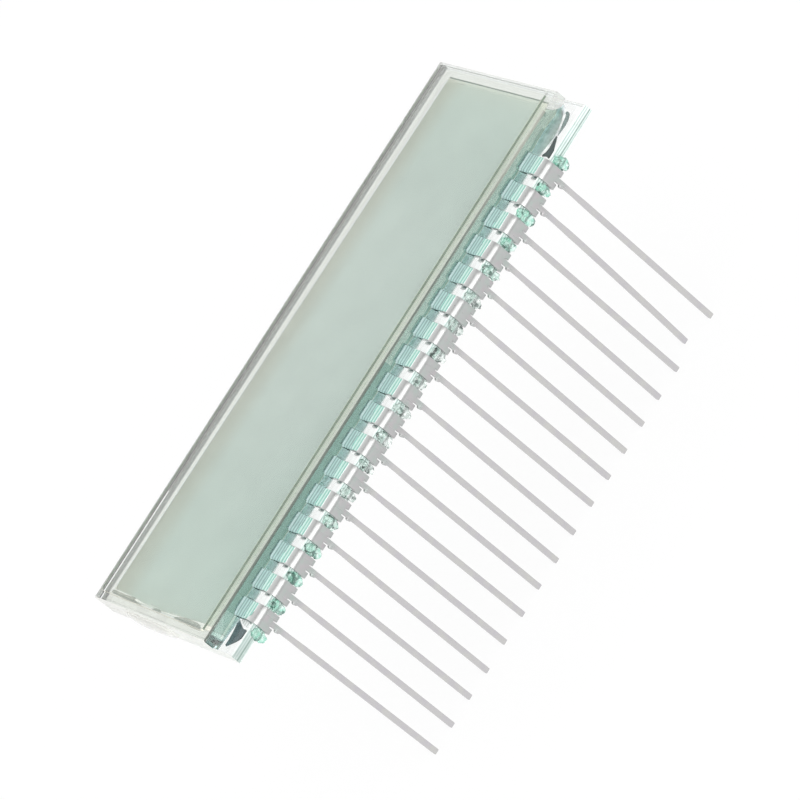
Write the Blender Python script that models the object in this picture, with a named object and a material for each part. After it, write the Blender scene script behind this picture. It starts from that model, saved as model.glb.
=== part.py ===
"""Segment liquid crystal display, a glass cell with one row of clip-on contact pins.

Two glass plates hold a thin film of liquid crystal inside a ring of seal. The rear plate is wider
than the front one and leaves a ledge, and a row of stamped spring clips grips that ledge. Each
clip has one wide front finger, two narrow rear fingers and a long straight leg. Clear resin locks
the fingers against the front plate and fills the edge between the clips.

The origin is the centre of the middle pin, level with the tips. X runs along the pin row to the
right as the display is read, Y runs from the pins across the glass, and Z comes out of the display
face.
"""

import math

import bmesh
import bpy

MM = 0.001

# Pin row, which sets the length of the glass
PIN_COUNT = 17
PIN_PITCH = 2.54 * MM
LEFT_MARGIN = 3.80 * MM  # first pin's centre to the glass end with the fill port
RIGHT_MARGIN = 6.00 * MM  # last pin's centre to the other glass end

# Glass plates
GLASS_THICKNESS = 1.10 * MM
FRONT_GLASS_WIDTH = 15.80 * MM
LEDGE_WIDTH = 2.35 * MM  # how far the rear plate stands out under the clips
GLASS_SEAM = 0.08 * MM  # chamfer ground on every glass edge

# Cell between the plates; a real cell is a few micrometres thick
CELL_GAP = 0.10 * MM
SEAL_INSET = 0.35 * MM
SEAL_WIDTH = 0.90 * MM
SEAL_CORNER_RADIUS = 1.60 * MM
FILL_PORT_WIDTH = 4.30 * MM
FILL_PORT_OFFSET = 0.75 * MM  # from the middle of the front plate, away from the pins
PORT_LIP_WIDTH = 0.60 * MM
PORT_ISLAND_WIDTH = 1.30 * MM

# Films, with how far each one stops short of the front plate's edges
POLARISER_THICKNESS = 0.20 * MM
REFLECTOR_THICKNESS = 0.10 * MM
FRONT_FILM_LEFT = 0.70 * MM
FRONT_FILM_RIGHT = 0.35 * MM
FRONT_FILM_PIN_SIDE = 1.00 * MM
FRONT_FILM_FAR_SIDE = 0.60 * MM
REAR_FILM_LEFT = 1.45 * MM
REAR_FILM_RIGHT = 0.80 * MM
REAR_FILM_PIN_SIDE = 1.00 * MM
REAR_FILM_FAR_SIDE = 0.60 * MM
FILM_CORNER_RADIUS = 0.15 * MM

# Contact pins, stamped and folded from one strip
SHEET = 0.25 * MM
CLIP_WIDTH = 1.56 * MM
FRONT_FOLD_RADIUS = 0.45 * MM  # every bend radius is to the middle of the sheet
REAR_FOLD_RADIUS = 0.28 * MM
CONTACT_RADIUS = 0.17 * MM
CONTACT_SETBACK = 1.13 * MM  # front contact line to the front plate's side
FRONT_FINGER_RISE = 0.10 * MM  # how much the finger lifts off the glass towards its fold
FRONT_TIP_RISE = 0.22 * MM
TIP_CLEARANCE = 0.12 * MM  # front fingertip to the front plate's side
REAR_FINGER_DROP = 0.64 * MM  # rear plate to the rear finger at its fold
REAR_TIP_DROP = 0.22 * MM
REAR_TIP_LENGTH = 0.55 * MM
LEG_WIDTH = 0.48 * MM
NECK_WIDTH = 0.42 * MM
SLIT_WIDTH = 0.12 * MM  # between the neck and each rear finger
NECK_LENGTH = 2.00 * MM
SHOULDER_LENGTH = 0.15 * MM
STUB_WIDTH = 0.16 * MM  # what is left of the carrier strip on the left of the neck
STUB_LENGTH = 0.45 * MM
LEG_LENGTH = 18.98 * MM  # from the clip's underside to the tip
LEG_POINT = 0.25 * MM
LEG_POINT_WIDTH = 0.36 * MM

# The last pin but one is pushed slightly towards the glass
BENT_PIN = 16
BENT_LEG_LEAN = 0.95 * MM
LEAN_CURVE = 1.5  # above 1, the lean grows towards the tip
LEAN_STEPS = 6

# Resin
RESIN_HEIGHT = 1.08 * MM  # up the side of the front plate, from the ledge
RESIN_TOE_AT_PINS = 1.12 * MM  # out from the front plate's side
RESIN_TOE_AT_LEFT = 0.35 * MM
RESIN_TOE_BEFORE_PINS = 0.65 * MM
RESIN_TOE_BULGE = 1.38 * MM
RESIN_RIGHT_STOP = 0.45 * MM  # end of the bead to the end of the glass
RESIN_HOLLOW = 1.35  # above 1, the bead's face is hollow
RESIN_RIM = 0.03  # share of the height that is left at the toe
RESIN_END_SHARE = 0.20  # share of the reach that is left at the stop
RESIN_CLIMB = 1.40 * MM  # from the stop to where the bead reaches its full height
RESIN_BULGE_FROM_STOP = 2.60 * MM
RESIN_BULGE_HALF_LENGTH = 2.00 * MM
BEAD_OUT = 0.30 * MM  # how far a bead between two clips stands off the edge of the glass
BEAD_ABOVE_LEDGE = 0.05 * MM
BEAD_BELOW_GLASS = 0.70 * MM
BEAD_SQUARENESS = 0.75
PLUG_WIDTH = 7.00 * MM
PLUG_OUT = 0.33 * MM
PLUG_HEIGHT_SHARE = 0.86  # of the two plates and the gap together
PLUG_TONGUE_LENGTH = 0.45 * MM
PLUG_SQUARENESS = 0.80

# Fits
BOND_LINE = 0.02 * MM  # adhesive under a film, and resin to whatever it touches
SPRING_FIT = 0.02 * MM  # clip to glass

# Smoothness
FOLD_STEPS = 6
CONTACT_STEPS = 4
CORNER_STEPS = 5
BEAD_DETAIL = (12, 8)  # segments and rings
PLUG_DETAIL = (24, 12)
TOE_STEPS = 8
RESIN_STATION = 0.45 * MM

# Heights above the pin tips
CLIP_UNDERSIDE = LEG_LENGTH
REAR_GLASS_BOTTOM = CLIP_UNDERSIDE + SHEET + REAR_FINGER_DROP
LEDGE = REAR_GLASS_BOTTOM + GLASS_THICKNESS
FRONT_GLASS_BOTTOM = LEDGE + CELL_GAP
FRONT_GLASS_TOP = FRONT_GLASS_BOTTOM + GLASS_THICKNESS
FRONT_FILM_BOTTOM = FRONT_GLASS_TOP + BOND_LINE
REAR_FILM_BOTTOM = REAR_GLASS_BOTTOM - BOND_LINE - POLARISER_THICKNESS
REFLECTOR_BOTTOM = REAR_FILM_BOTTOM - BOND_LINE - REFLECTOR_THICKNESS

# Plan, with the middle of each clip's wall on Y = 0
FIRST_PIN_X = -PIN_PITCH * (PIN_COUNT - 1) / 2
LEFT = FIRST_PIN_X - LEFT_MARGIN
RIGHT = -FIRST_PIN_X + RIGHT_MARGIN
PIN_SIDE = SHEET / 2 + SPRING_FIT
FRONT_SIDE = PIN_SIDE + LEDGE_WIDTH  # the front plate's side that faces the pins
FAR_SIDE = FRONT_SIDE + FRONT_GLASS_WIDTH
PORT_Y = (FRONT_SIDE + FAR_SIDE) / 2 + FILL_PORT_OFFSET


def clear_scene():
    for obj in list(bpy.data.objects):
        bpy.data.objects.remove(obj, do_unlink=True)


def make_material(name, colour, roughness, metallic=0.0, transmission=0.0, alpha=1.0):
    material = bpy.data.materials.new(name)
    material.use_nodes = True
    shader = material.node_tree.nodes["Principled BSDF"]
    shader.inputs["Base Color"].default_value = (*colour, 1.0)
    shader.inputs["Roughness"].default_value = roughness
    shader.inputs["Metallic"].default_value = metallic
    shader.inputs["Transmission Weight"].default_value = transmission
    shader.inputs["Alpha"].default_value = alpha
    material.diffuse_color = (*colour, alpha)
    return material


def new_object(name, bm, material, smooth_angle=None):
    """An object made from a bmesh, with its faces turned outwards."""
    bmesh.ops.recalc_face_normals(bm, faces=bm.faces)
    mesh = bpy.data.meshes.new(name)
    bm.to_mesh(mesh)
    bm.free()
    mesh.materials.append(material)
    if smooth_angle is not None:
        mesh.shade_smooth()
        mesh.set_sharp_from_angle(angle=smooth_angle)
    return place_mesh(name, mesh)


def place_mesh(name, mesh):
    obj = bpy.data.objects.new(name, mesh)
    bpy.context.scene.collection.objects.link(obj)
    return obj


def add_bevel(obj, width):
    bevel = obj.modifiers.new("seamed edges", "BEVEL")
    bevel.width = width
    bevel.segments = 1
    bevel.limit_method = "ANGLE"


def extrude_outline(outline, z_low, z_high):
    """A bmesh slab with the closed (x, y) outline given."""
    bm = bmesh.new()
    face = bm.faces.new([bm.verts.new((x, y, z_low)) for x, y in outline])
    grown = bmesh.ops.extrude_face_region(bm, geom=[face])
    top = [item for item in grown["geom"] if isinstance(item, bmesh.types.BMVert)]
    bmesh.ops.translate(bm, verts=top, vec=(0, 0, z_high - z_low))
    return bm


def rounded_path(points, bends):
    """The open path through the points, with a bend of a given radius and steps at each corner."""
    path = [points[0]]
    for before, corner, after, (radius, steps) in zip(points, points[1:], points[2:], bends):
        to_before = (before[0] - corner[0], before[1] - corner[1])
        to_after = (after[0] - corner[0], after[1] - corner[1])
        angle_in = math.atan2(to_before[1], to_before[0])
        angle_out = math.atan2(to_after[1], to_after[0])
        turn = (angle_out - angle_in + math.pi) % (2 * math.pi) - math.pi
        half = abs(turn) / 2
        longest_back = 0.48 * min(math.hypot(*to_before), math.hypot(*to_after))
        back = min(radius / math.tan(half), longest_back)
        fitted = back * math.tan(half)
        reach = fitted / math.sin(half)
        bisector = angle_in + turn / 2
        centre = (corner[0] + reach * math.cos(bisector), corner[1] + reach * math.sin(bisector))
        start = (corner[0] + back * math.cos(angle_in), corner[1] + back * math.sin(angle_in))
        first = math.atan2(start[1] - centre[1], start[0] - centre[0])
        sweep = math.copysign(math.pi - 2 * half, -turn)
        for step in range(steps + 1):
            angle = first + sweep * step / steps
            path.append((centre[0] + fitted * math.cos(angle), centre[1] + fitted * math.sin(angle)))
    path.append(points[-1])
    return path


def rounded_rectangle(x_low, x_high, y_low, y_high, radius, steps):
    """Points round a rectangle, anticlockwise from its lower left corner."""
    corners = [
        (x_low + radius, y_low + radius, math.pi),
        (x_high - radius, y_low + radius, 1.5 * math.pi),
        (x_high - radius, y_high - radius, 0.0),
        (x_low + radius, y_high - radius, 0.5 * math.pi),
    ]
    outline = []
    for centre_x, centre_y, first in corners:
        for step in range(steps + 1):
            angle = first + 0.5 * math.pi * step / steps
            outline.append((centre_x + radius * math.cos(angle), centre_y + radius * math.sin(angle)))
    return outline


def make_plate(name, y_low, y_high, z_low, material):
    corners = [(LEFT, y_low), (RIGHT, y_low), (RIGHT, y_high), (LEFT, y_high)]
    plate = new_object(name, extrude_outline(corners, z_low, z_low + GLASS_THICKNESS), material)
    add_bevel(plate, GLASS_SEAM)
    return plate


def make_film(name, insets, z_low, thickness, material):
    """A die-cut film. The insets are from the front plate's left, right, pin side and far side."""
    left, right, pin_side, far_side = insets
    outline = rounded_rectangle(
        LEFT + left,
        RIGHT - right,
        FRONT_SIDE + pin_side,
        FAR_SIDE - far_side,
        FILM_CORNER_RADIUS,
        CORNER_STEPS,
    )
    return new_object(name, extrude_outline(outline, z_low, z_low + thickness), material)


def seal_loop(inset, radius):
    """A rounded loop that stays the same distance inside the front plate's edges."""
    return rounded_rectangle(
        LEFT + inset, RIGHT - inset, FRONT_SIDE + inset, FAR_SIDE - inset, radius, CORNER_STEPS
    )


def make_perimeter_seal(material):
    """A ring that opens at the left end, where two lips run out to the glass edge."""
    inner_inset = SEAL_INSET + SEAL_WIDTH
    outer = seal_loop(SEAL_INSET, SEAL_CORNER_RADIUS)
    inner = seal_loop(inner_inset, max(SEAL_CORNER_RADIUS - SEAL_WIDTH, SEAL_CORNER_RADIUS / 4))
    port_low = PORT_Y - FILL_PORT_WIDTH / 2
    port_high = PORT_Y + FILL_PORT_WIDTH / 2
    start_lip = [
        (LEFT + SEAL_INSET, port_low - PORT_LIP_WIDTH),
        (LEFT, port_low - PORT_LIP_WIDTH),
        (LEFT, port_low),
        (LEFT + inner_inset, port_low),
    ]
    end_lip = [
        (LEFT + inner_inset, port_high),
        (LEFT, port_high),
        (LEFT, port_high + PORT_LIP_WIDTH),
        (LEFT + SEAL_INSET, port_high + PORT_LIP_WIDTH),
    ]
    outline = start_lip + inner + end_lip + outer[::-1]
    bm = extrude_outline(outline, LEDGE + BOND_LINE, FRONT_GLASS_BOTTOM - BOND_LINE)
    return new_object("perimeter_seal", bm, material)


def make_seal_island(material):
    """The short strip of seal that stands in the middle of the fill port."""
    half = PORT_ISLAND_WIDTH / 2
    outline = rounded_rectangle(
        LEFT + PLUG_TONGUE_LENGTH + BOND_LINE,
        LEFT + SEAL_INSET + SEAL_WIDTH,
        PORT_Y - half,
        PORT_Y + half,
        half / 4,
        CORNER_STEPS,
    )
    bm = extrude_outline(outline, LEDGE + BOND_LINE, FRONT_GLASS_BOTTOM - BOND_LINE)
    return new_object("seal_island", bm, material)


def make_liquid_crystal(material):
    inset = SEAL_INSET + SEAL_WIDTH + BOND_LINE
    radius = max(SEAL_CORNER_RADIUS - SEAL_WIDTH, SEAL_CORNER_RADIUS / 4)
    bm = extrude_outline(seal_loop(inset, radius), LEDGE + BOND_LINE, FRONT_GLASS_BOTTOM - BOND_LINE)
    return new_object("liquid_crystal", bm, material)


def half_dome(size_x, size_y, size_z, detail, squareness, keep):
    """Half of a rounded block about the origin, cut flat on the side away from the keep direction.

    A squareness of 1 gives an ellipsoid, and lower values fill its corners out.
    """
    bm = bmesh.new()
    segments, rings = detail
    bmesh.ops.create_uvsphere(bm, u_segments=segments, v_segments=rings, radius=1.0)
    sizes = (size_x, size_y, size_z)
    for vert in bm.verts:
        for axis, size in enumerate(sizes):
            value = vert.co[axis]
            vert.co[axis] = size * math.copysign(abs(value) ** squareness, value)
    geometry = bm.verts[:] + bm.edges[:] + bm.faces[:]
    cut = bmesh.ops.bisect_plane(
        bm, geom=geometry, dist=1e-9, plane_co=(0, 0, 0), plane_no=keep, clear_inner=True
    )
    rim = [item for item in cut["geom_cut"] if isinstance(item, bmesh.types.BMEdge)]
    bmesh.ops.holes_fill(bm, edges=rim)
    return bm


def make_fill_port_plug(material):
    """A dome of resin over the fill port, with a tongue drawn into the gap between the plates."""
    height = PLUG_HEIGHT_SHARE * (FRONT_GLASS_TOP - REAR_GLASS_BOTTOM)
    middle = (LEDGE + FRONT_GLASS_BOTTOM) / 2
    bm = half_dome(PLUG_OUT, PLUG_WIDTH / 2, height / 2, PLUG_DETAIL, PLUG_SQUARENESS, (-1, 0, 0))
    bmesh.ops.translate(bm, verts=bm.verts, vec=(LEFT - BOND_LINE, PORT_Y, middle))
    plug = new_object("fill_port_plug", bm, material, math.radians(40))

    half = FILL_PORT_WIDTH / 2 - BOND_LINE
    x_low = LEFT - PLUG_OUT / 3
    x_high = LEFT + PLUG_TONGUE_LENGTH
    outline = [
        (x_low, PORT_Y - half),
        (x_high, PORT_Y - half),
        (x_high, PORT_Y + half),
        (x_low, PORT_Y + half),
    ]
    tongue = extrude_outline(outline, LEDGE + BOND_LINE, FRONT_GLASS_BOTTOM - BOND_LINE)
    join(plug, new_object("fill_port_tongue_form", tongue, material), "UNION")
    return plug


def join(obj, tool, operation):
    """Boolean with a tool that is hidden afterwards."""
    tool.hide_render = True
    tool.display_type = "WIRE"
    boolean = obj.modifiers.new(tool.name, "BOOLEAN")
    boolean.operation = operation
    boolean.object = tool


def front_finger_path(tip_extra=0.0):
    """Middle line of the front finger in Y and Z, from its tip to the top of the clip's wall."""
    contact = (FRONT_SIDE - CONTACT_SETBACK, LEDGE + SPRING_FIT + SHEET / 2)
    tip_y = FRONT_SIDE - TIP_CLEARANCE
    slope = FRONT_TIP_RISE / (tip_y - contact[0])
    tip = (tip_y + tip_extra, contact[1] + FRONT_TIP_RISE + slope * tip_extra)
    fold = (0.0, contact[1] + FRONT_FINGER_RISE)
    return [tip, contact, fold]


def rear_finger_path():
    """Middle line of a rear finger, from the foot of the clip's wall to its tip."""
    fold = (0.0, CLIP_UNDERSIDE + SHEET / 2)
    contact = (FRONT_SIDE - CONTACT_SETBACK, REAR_GLASS_BOTTOM - SPRING_FIT - SHEET / 2)
    tip = (contact[0] + REAR_TIP_LENGTH, contact[1] - REAR_TIP_DROP)
    return [fold, contact, tip]


def clip_profile():
    """The middle line of the fingers and wall, and the index at which the rear fold begins."""
    bends = [
        (CONTACT_RADIUS, CONTACT_STEPS),
        (FRONT_FOLD_RADIUS, FOLD_STEPS),
        (REAR_FOLD_RADIUS, FOLD_STEPS),
        (CONTACT_RADIUS, CONTACT_STEPS),
    ]
    path = rounded_path([*front_finger_path(), *rear_finger_path()], bends)
    rear_fold = 1 + (CONTACT_STEPS + 1) + (FOLD_STEPS + 1)
    return path, rear_fold


def leg_rows(lean):
    """Height, left edge, right edge and lean at each row of the neck and leg, top to bottom.

    A leaning leg keeps its length, so its tip stays a little higher than the others.
    """
    tip = (lean * LEAN_CURVE) ** 2 / (2 * (2 * LEAN_CURVE - 1) * LEG_LENGTH)
    neck_end = CLIP_UNDERSIDE - NECK_LENGTH
    shoulder_end = neck_end - SHOULDER_LENGTH
    point_start = tip + LEG_POINT
    neck = NECK_WIDTH / 2
    leg = LEG_WIDTH / 2
    rows = [
        (CLIP_UNDERSIDE + STUB_WIDTH / 2, -neck, neck),
        (CLIP_UNDERSIDE, -neck - STUB_WIDTH, neck),
        (CLIP_UNDERSIDE - STUB_LENGTH, -neck, neck),
        (neck_end, -neck, neck),
        (shoulder_end, -leg, leg),
        (point_start, -leg, leg),
        (tip, -LEG_POINT_WIDTH / 2, LEG_POINT_WIDTH / 2),
    ]
    if lean:
        span = shoulder_end - point_start
        rows[5:5] = [(shoulder_end - span * step / LEAN_STEPS, -leg, leg) for step in range(1, LEAN_STEPS)]
    travel = shoulder_end - tip
    return [
        (z, left, right, lean * (max(shoulder_end - z, 0.0) / travel) ** LEAN_CURVE)
        for z, left, right in rows
    ]


def make_pin_mesh(name, lean, material):
    """The clip's middle surface. X is measured from the middle of the leg."""
    bm = bmesh.new()
    columns = [-CLIP_WIDTH / 2, -NECK_WIDTH / 2 - SLIT_WIDTH, -NECK_WIDTH / 2]
    columns += [-x for x in reversed(columns)]
    path, rear_fold = clip_profile()
    slit_top = path[rear_fold][1] + SLIT_WIDTH
    full_rows = [*path[:rear_fold], (0.0, slit_top)]
    grid = [[bm.verts.new((x, y, z)) for x in columns] for y, z in full_rows]
    for upper, lower in zip(grid, grid[1:]):
        for column in range(len(columns) - 1):
            bm.faces.new((upper[column], upper[column + 1], lower[column + 1], lower[column]))
    foot = grid[-1]
    for left, right in ((0, 1), (4, 5)):
        above = (foot[left], foot[right])
        for y, z in path[rear_fold:]:
            below = (bm.verts.new((columns[left], y, z)), bm.verts.new((columns[right], y, z)))
            bm.faces.new((above[0], above[1], below[1], below[0]))
            above = below
    above = (foot[2], foot[3])
    for z, left, right, shift in leg_rows(lean):
        below = (bm.verts.new((left, shift, z)), bm.verts.new((right, shift, z)))
        bm.faces.new((above[0], above[1], below[1], below[0]))
        above = below
    mesh = bpy.data.meshes.new(name)
    bm.to_mesh(mesh)
    bm.free()
    mesh.materials.append(material)
    mesh.shade_smooth()
    mesh.set_sharp_from_angle(angle=math.radians(50))
    return mesh


def pin_x(number):
    return FIRST_PIN_X + (number - 1) * PIN_PITCH


def make_pins(material):
    straight = make_pin_mesh("contact_pin", 0.0, material)
    bent = make_pin_mesh("contact_pin_bent", BENT_LEG_LEAN, material)
    for number in range(1, PIN_COUNT + 1):
        mesh = bent if number == BENT_PIN else straight
        pin = place_mesh(f"contact_pin_{number:02d}", mesh)
        pin.location.x = pin_x(number)
        sheet = pin.modifiers.new("sheet thickness", "SOLIDIFY")
        sheet.thickness = SHEET
        sheet.offset = 0.0
        sheet.use_even_offset = True


def toe_at(x):
    """How far the resin bead on the ledge reaches out from the front plate at this place."""
    clip_edge = pin_x(1) - CLIP_WIDTH / 2
    stop = RIGHT - RESIN_RIGHT_STOP
    bulge_at = stop - RESIN_BULGE_FROM_STOP
    toe = RESIN_TOE_AT_PINS
    if x < clip_edge:
        share = (x - LEFT) / (clip_edge - LEFT)
        toe = RESIN_TOE_AT_LEFT + (RESIN_TOE_BEFORE_PINS - RESIN_TOE_AT_LEFT) * share
    elif x < pin_x(1):
        share = (x - clip_edge) / (pin_x(1) - clip_edge)
        toe = RESIN_TOE_BEFORE_PINS + (RESIN_TOE_AT_PINS - RESIN_TOE_BEFORE_PINS) * share
    off = abs(x - bulge_at) / RESIN_BULGE_HALF_LENGTH
    if off < 1.0:
        toe += (RESIN_TOE_BULGE - RESIN_TOE_AT_PINS) * (0.5 + 0.5 * math.cos(math.pi * off))
    past_bulge = (x - bulge_at) / RESIN_BULGE_FROM_STOP
    if past_bulge > 0.0:
        toe *= math.sqrt(max(1.0 - past_bulge**2, RESIN_END_SHARE**2))
    return toe


def resin_section(x):
    """The bead's cross-section at x: the corner, up the plate's side, and down a hollow curve."""
    toe = toe_at(x)
    from_stop = (RIGHT - RESIN_RIGHT_STOP - x) / RESIN_CLIMB
    from_left = toe / RESIN_TOE_AT_PINS
    height = RESIN_HEIGHT * min(1.0, RESIN_RIM + from_stop**2, from_left)
    back = FRONT_SIDE - BOND_LINE
    foot = LEDGE + BOND_LINE
    rim = RESIN_HEIGHT * RESIN_RIM
    section = [(back, foot)]
    for step in range(TOE_STEPS + 1):
        share = step / TOE_STEPS
        section.append((back - toe * share, foot + rim + (height - rim) * (1.0 - share) ** RESIN_HOLLOW))
    section.append((back - toe, foot))
    return section


def make_ledge_resin(material):
    """The bead along the front plate's side, cut to leave room for each fingertip."""
    low = LEFT + GLASS_SEAM
    high = RIGHT - RESIN_RIGHT_STOP
    count = round((high - low) / RESIN_STATION)
    bm = bmesh.new()
    loops = []
    for station in range(count + 1):
        x = low + (high - low) * station / count
        loops.append([bm.verts.new((x, y, z)) for y, z in resin_section(x)])
    for near, far in zip(loops, loops[1:]):
        for index in range(len(near)):
            after = (index + 1) % len(near)
            bm.faces.new((near[index], near[after], far[after], far[index]))
    bm.faces.new(loops[0])
    bm.faces.new(reversed(loops[-1]))
    bead = new_object("ledge_resin", bm, material, math.radians(40))
    join(bead, make_finger_forms(material), "DIFFERENCE")
    return bead


def make_finger_forms(material):
    """The space that the front fingers take up in the bead, with the resin's bond line round it."""
    corners = front_finger_path(tip_extra=BOND_LINE)
    middle = rounded_path(corners, [(CONTACT_RADIUS, CONTACT_STEPS)])
    half = SHEET / 2 + BOND_LINE
    bm = bmesh.new()
    for number in range(1, PIN_COUNT + 1):
        x_low = pin_x(number) - CLIP_WIDTH / 2 - BOND_LINE
        upper, lower = offset_lines(middle, half)
        outline = upper + lower[::-1]
        face = bm.faces.new([bm.verts.new((x_low, y, z)) for y, z in outline])
        grown = bmesh.ops.extrude_face_region(bm, geom=[face])
        moved = [item for item in grown["geom"] if isinstance(item, bmesh.types.BMVert)]
        bmesh.ops.translate(bm, verts=moved, vec=(CLIP_WIDTH + 2 * BOND_LINE, 0, 0))
    return new_object("finger_forms", bm, material)


def offset_lines(path, half):
    """The two lines that run at a distance on each side of a path."""
    upper = []
    lower = []
    for index, (y, z) in enumerate(path):
        before = path[max(index - 1, 0)]
        after = path[min(index + 1, len(path) - 1)]
        length = math.hypot(after[0] - before[0], after[1] - before[1])
        normal = (-(after[1] - before[1]) / length, (after[0] - before[0]) / length)
        upper.append((y - normal[0] * half, z - normal[1] * half))
        lower.append((y + normal[0] * half, z + normal[1] * half))
    return upper, lower


def make_edge_beads(material):
    """Resin knobs on the edge of the rear plate, one beside each clip and one past the last."""
    gap = PIN_PITCH - CLIP_WIDTH - 2 * BOND_LINE
    z_low = REAR_GLASS_BOTTOM - BEAD_BELOW_GLASS
    z_high = LEDGE + BEAD_ABOVE_LEDGE
    bm = half_dome(gap / 2, BEAD_OUT, (z_high - z_low) / 2, BEAD_DETAIL, BEAD_SQUARENESS, (0, -1, 0))
    bmesh.ops.recalc_face_normals(bm, faces=bm.faces)
    mesh = bpy.data.meshes.new("edge_resin")
    bm.to_mesh(mesh)
    bm.free()
    mesh.materials.append(material)
    mesh.shade_smooth()
    mesh.set_sharp_from_angle(angle=math.radians(50))
    for number in range(PIN_COUNT + 1):
        bead = place_mesh(f"edge_resin_{number + 1:02d}", mesh)
        bead.location = (
            pin_x(number + 1) - PIN_PITCH / 2,
            PIN_SIDE - BOND_LINE,
            (z_low + z_high) / 2,
        )


def build_display():
    glass = make_material("glass", (0.86, 0.95, 0.92), 0.02, transmission=1.0, alpha=0.35)
    polariser = make_material("polariser", (0.52, 0.58, 0.52), 0.25)
    reflector = make_material("reflector", (0.78, 0.80, 0.74), 0.35, metallic=0.6)
    seal = make_material("seal", (0.72, 0.76, 0.70), 0.6)
    crystal = make_material("liquid_crystal", (0.80, 0.86, 0.80), 0.1, transmission=1.0, alpha=0.5)
    resin = make_material("resin", (0.55, 0.78, 0.72), 0.1, transmission=0.8, alpha=0.6)
    tin = make_material("tinned_strip", (0.76, 0.75, 0.74), 0.25, metallic=1.0)

    rear_insets = (REAR_FILM_LEFT, REAR_FILM_RIGHT, REAR_FILM_PIN_SIDE, REAR_FILM_FAR_SIDE)
    front_insets = (FRONT_FILM_LEFT, FRONT_FILM_RIGHT, FRONT_FILM_PIN_SIDE, FRONT_FILM_FAR_SIDE)
    make_film("reflector_film", rear_insets, REFLECTOR_BOTTOM, REFLECTOR_THICKNESS, reflector)
    make_film("rear_polariser", rear_insets, REAR_FILM_BOTTOM, POLARISER_THICKNESS, polariser)
    make_plate("rear_glass", PIN_SIDE, FAR_SIDE, REAR_GLASS_BOTTOM, glass)
    make_perimeter_seal(seal)
    make_seal_island(seal)
    make_liquid_crystal(crystal)
    make_plate("front_glass", FRONT_SIDE, FAR_SIDE, FRONT_GLASS_BOTTOM, glass)
    make_film("front_polariser", front_insets, FRONT_FILM_BOTTOM, POLARISER_THICKNESS, polariser)
    make_fill_port_plug(resin)
    make_pins(tin)
    make_ledge_resin(resin)
    make_edge_beads(resin)


clear_scene()
build_display()
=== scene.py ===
"""The finished look of a segment liquid crystal display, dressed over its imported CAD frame.

Run as a script, it adds one panel to the 3D view's sidebar, with one button for each piece.
Every piece stands in the frame's own place: the pins' tips on Z = 0, the display face up.
"""

import math

import bmesh
import bpy
from bpy.props import FloatProperty, FloatVectorProperty, IntProperty, PointerProperty
from mathutils import Euler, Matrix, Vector, noise


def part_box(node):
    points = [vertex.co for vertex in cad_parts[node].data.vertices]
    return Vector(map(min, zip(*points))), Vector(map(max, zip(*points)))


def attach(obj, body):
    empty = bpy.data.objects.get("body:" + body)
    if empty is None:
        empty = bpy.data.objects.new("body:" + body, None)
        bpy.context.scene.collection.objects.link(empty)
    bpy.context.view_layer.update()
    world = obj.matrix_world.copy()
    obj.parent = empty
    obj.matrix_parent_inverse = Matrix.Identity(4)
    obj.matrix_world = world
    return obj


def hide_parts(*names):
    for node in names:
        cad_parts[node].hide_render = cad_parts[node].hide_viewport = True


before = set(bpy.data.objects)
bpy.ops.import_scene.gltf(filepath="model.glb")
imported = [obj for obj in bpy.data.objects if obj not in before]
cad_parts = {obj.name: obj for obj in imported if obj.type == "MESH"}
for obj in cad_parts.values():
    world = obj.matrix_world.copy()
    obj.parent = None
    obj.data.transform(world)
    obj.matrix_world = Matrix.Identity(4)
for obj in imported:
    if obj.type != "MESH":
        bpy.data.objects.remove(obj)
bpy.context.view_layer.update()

bl_info = {
    "name": "Segment display look",
    "version": (1, 0, 0),
    "blender": (4, 5, 0),
    "location": "3D View > Sidebar > Display",
    "description": "Glass cell, films, contact pins, resin and stage of a segment display",
    "category": "Object",
}

MM = 0.001

FRONT_LOW, FRONT_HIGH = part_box("front_glass")
REAR_LOW, REAR_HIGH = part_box("rear_glass")
FRONT_FILM_LOW, FRONT_FILM_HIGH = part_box("front_polariser")
REAR_FILM_LOW, REAR_FILM_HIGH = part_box("rear_polariser")
FOIL_LOW, FOIL_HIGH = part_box("reflector_film")
CELL_LOW, CELL_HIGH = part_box("liquid_crystal")
PLUG_LOW, PLUG_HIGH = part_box("fill_port_plug")
PIN_LOW, PIN_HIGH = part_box("contact_pin_01")
PINS = sorted(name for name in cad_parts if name.startswith("contact_pin_"))
BEADS = sorted(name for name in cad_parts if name.startswith("edge_resin_"))
FIRST_PIN = (PIN_LOW.x + PIN_HIGH.x) / 2
LEDGE = REAR_HIGH.z
LEFT = FRONT_LOW.x
RIGHT = FRONT_HIGH.x
FRONT_SIDE = FRONT_LOW.y
FAR_SIDE = FRONT_HIGH.y
SEAL_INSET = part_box("perimeter_seal")[0].y - FRONT_SIDE
FILM_SIDE = 4.02 * MM
FILM_END = REAR_FILM_HIGH.x + 0.12 * MM
MARGIN_END = LEFT + 1.15 * MM

GLASS_IOR = 1.52
RESIN_IOR = 1.5
WHITE = (1.0, 1.0, 1.0)
NOISE_RANGE = (0.3, 0.7)


def film_far(x):
    """Y of the rear film's far edge, which runs a little askew."""
    share = (x - LEFT - 1.46 * MM) / (FILM_END - LEFT - 1.46 * MM)
    return REAR_FILM_HIGH.y + (0.18 - 0.61 * share) * MM


def paint(*colour):
    """A colour as read off a picture, from 0 to 255, in the values that a shader takes."""
    parts = [value / 255 for value in colour]
    return tuple(part / 12.92 if part <= 0.04045 else ((part + 0.055) / 1.055) ** 2.4 for part in parts)


def length(name, description, millimetres):
    return FloatProperty(
        name=name, description=description, default=millimetres * MM, unit="LENGTH", precision=5
    )


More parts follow.
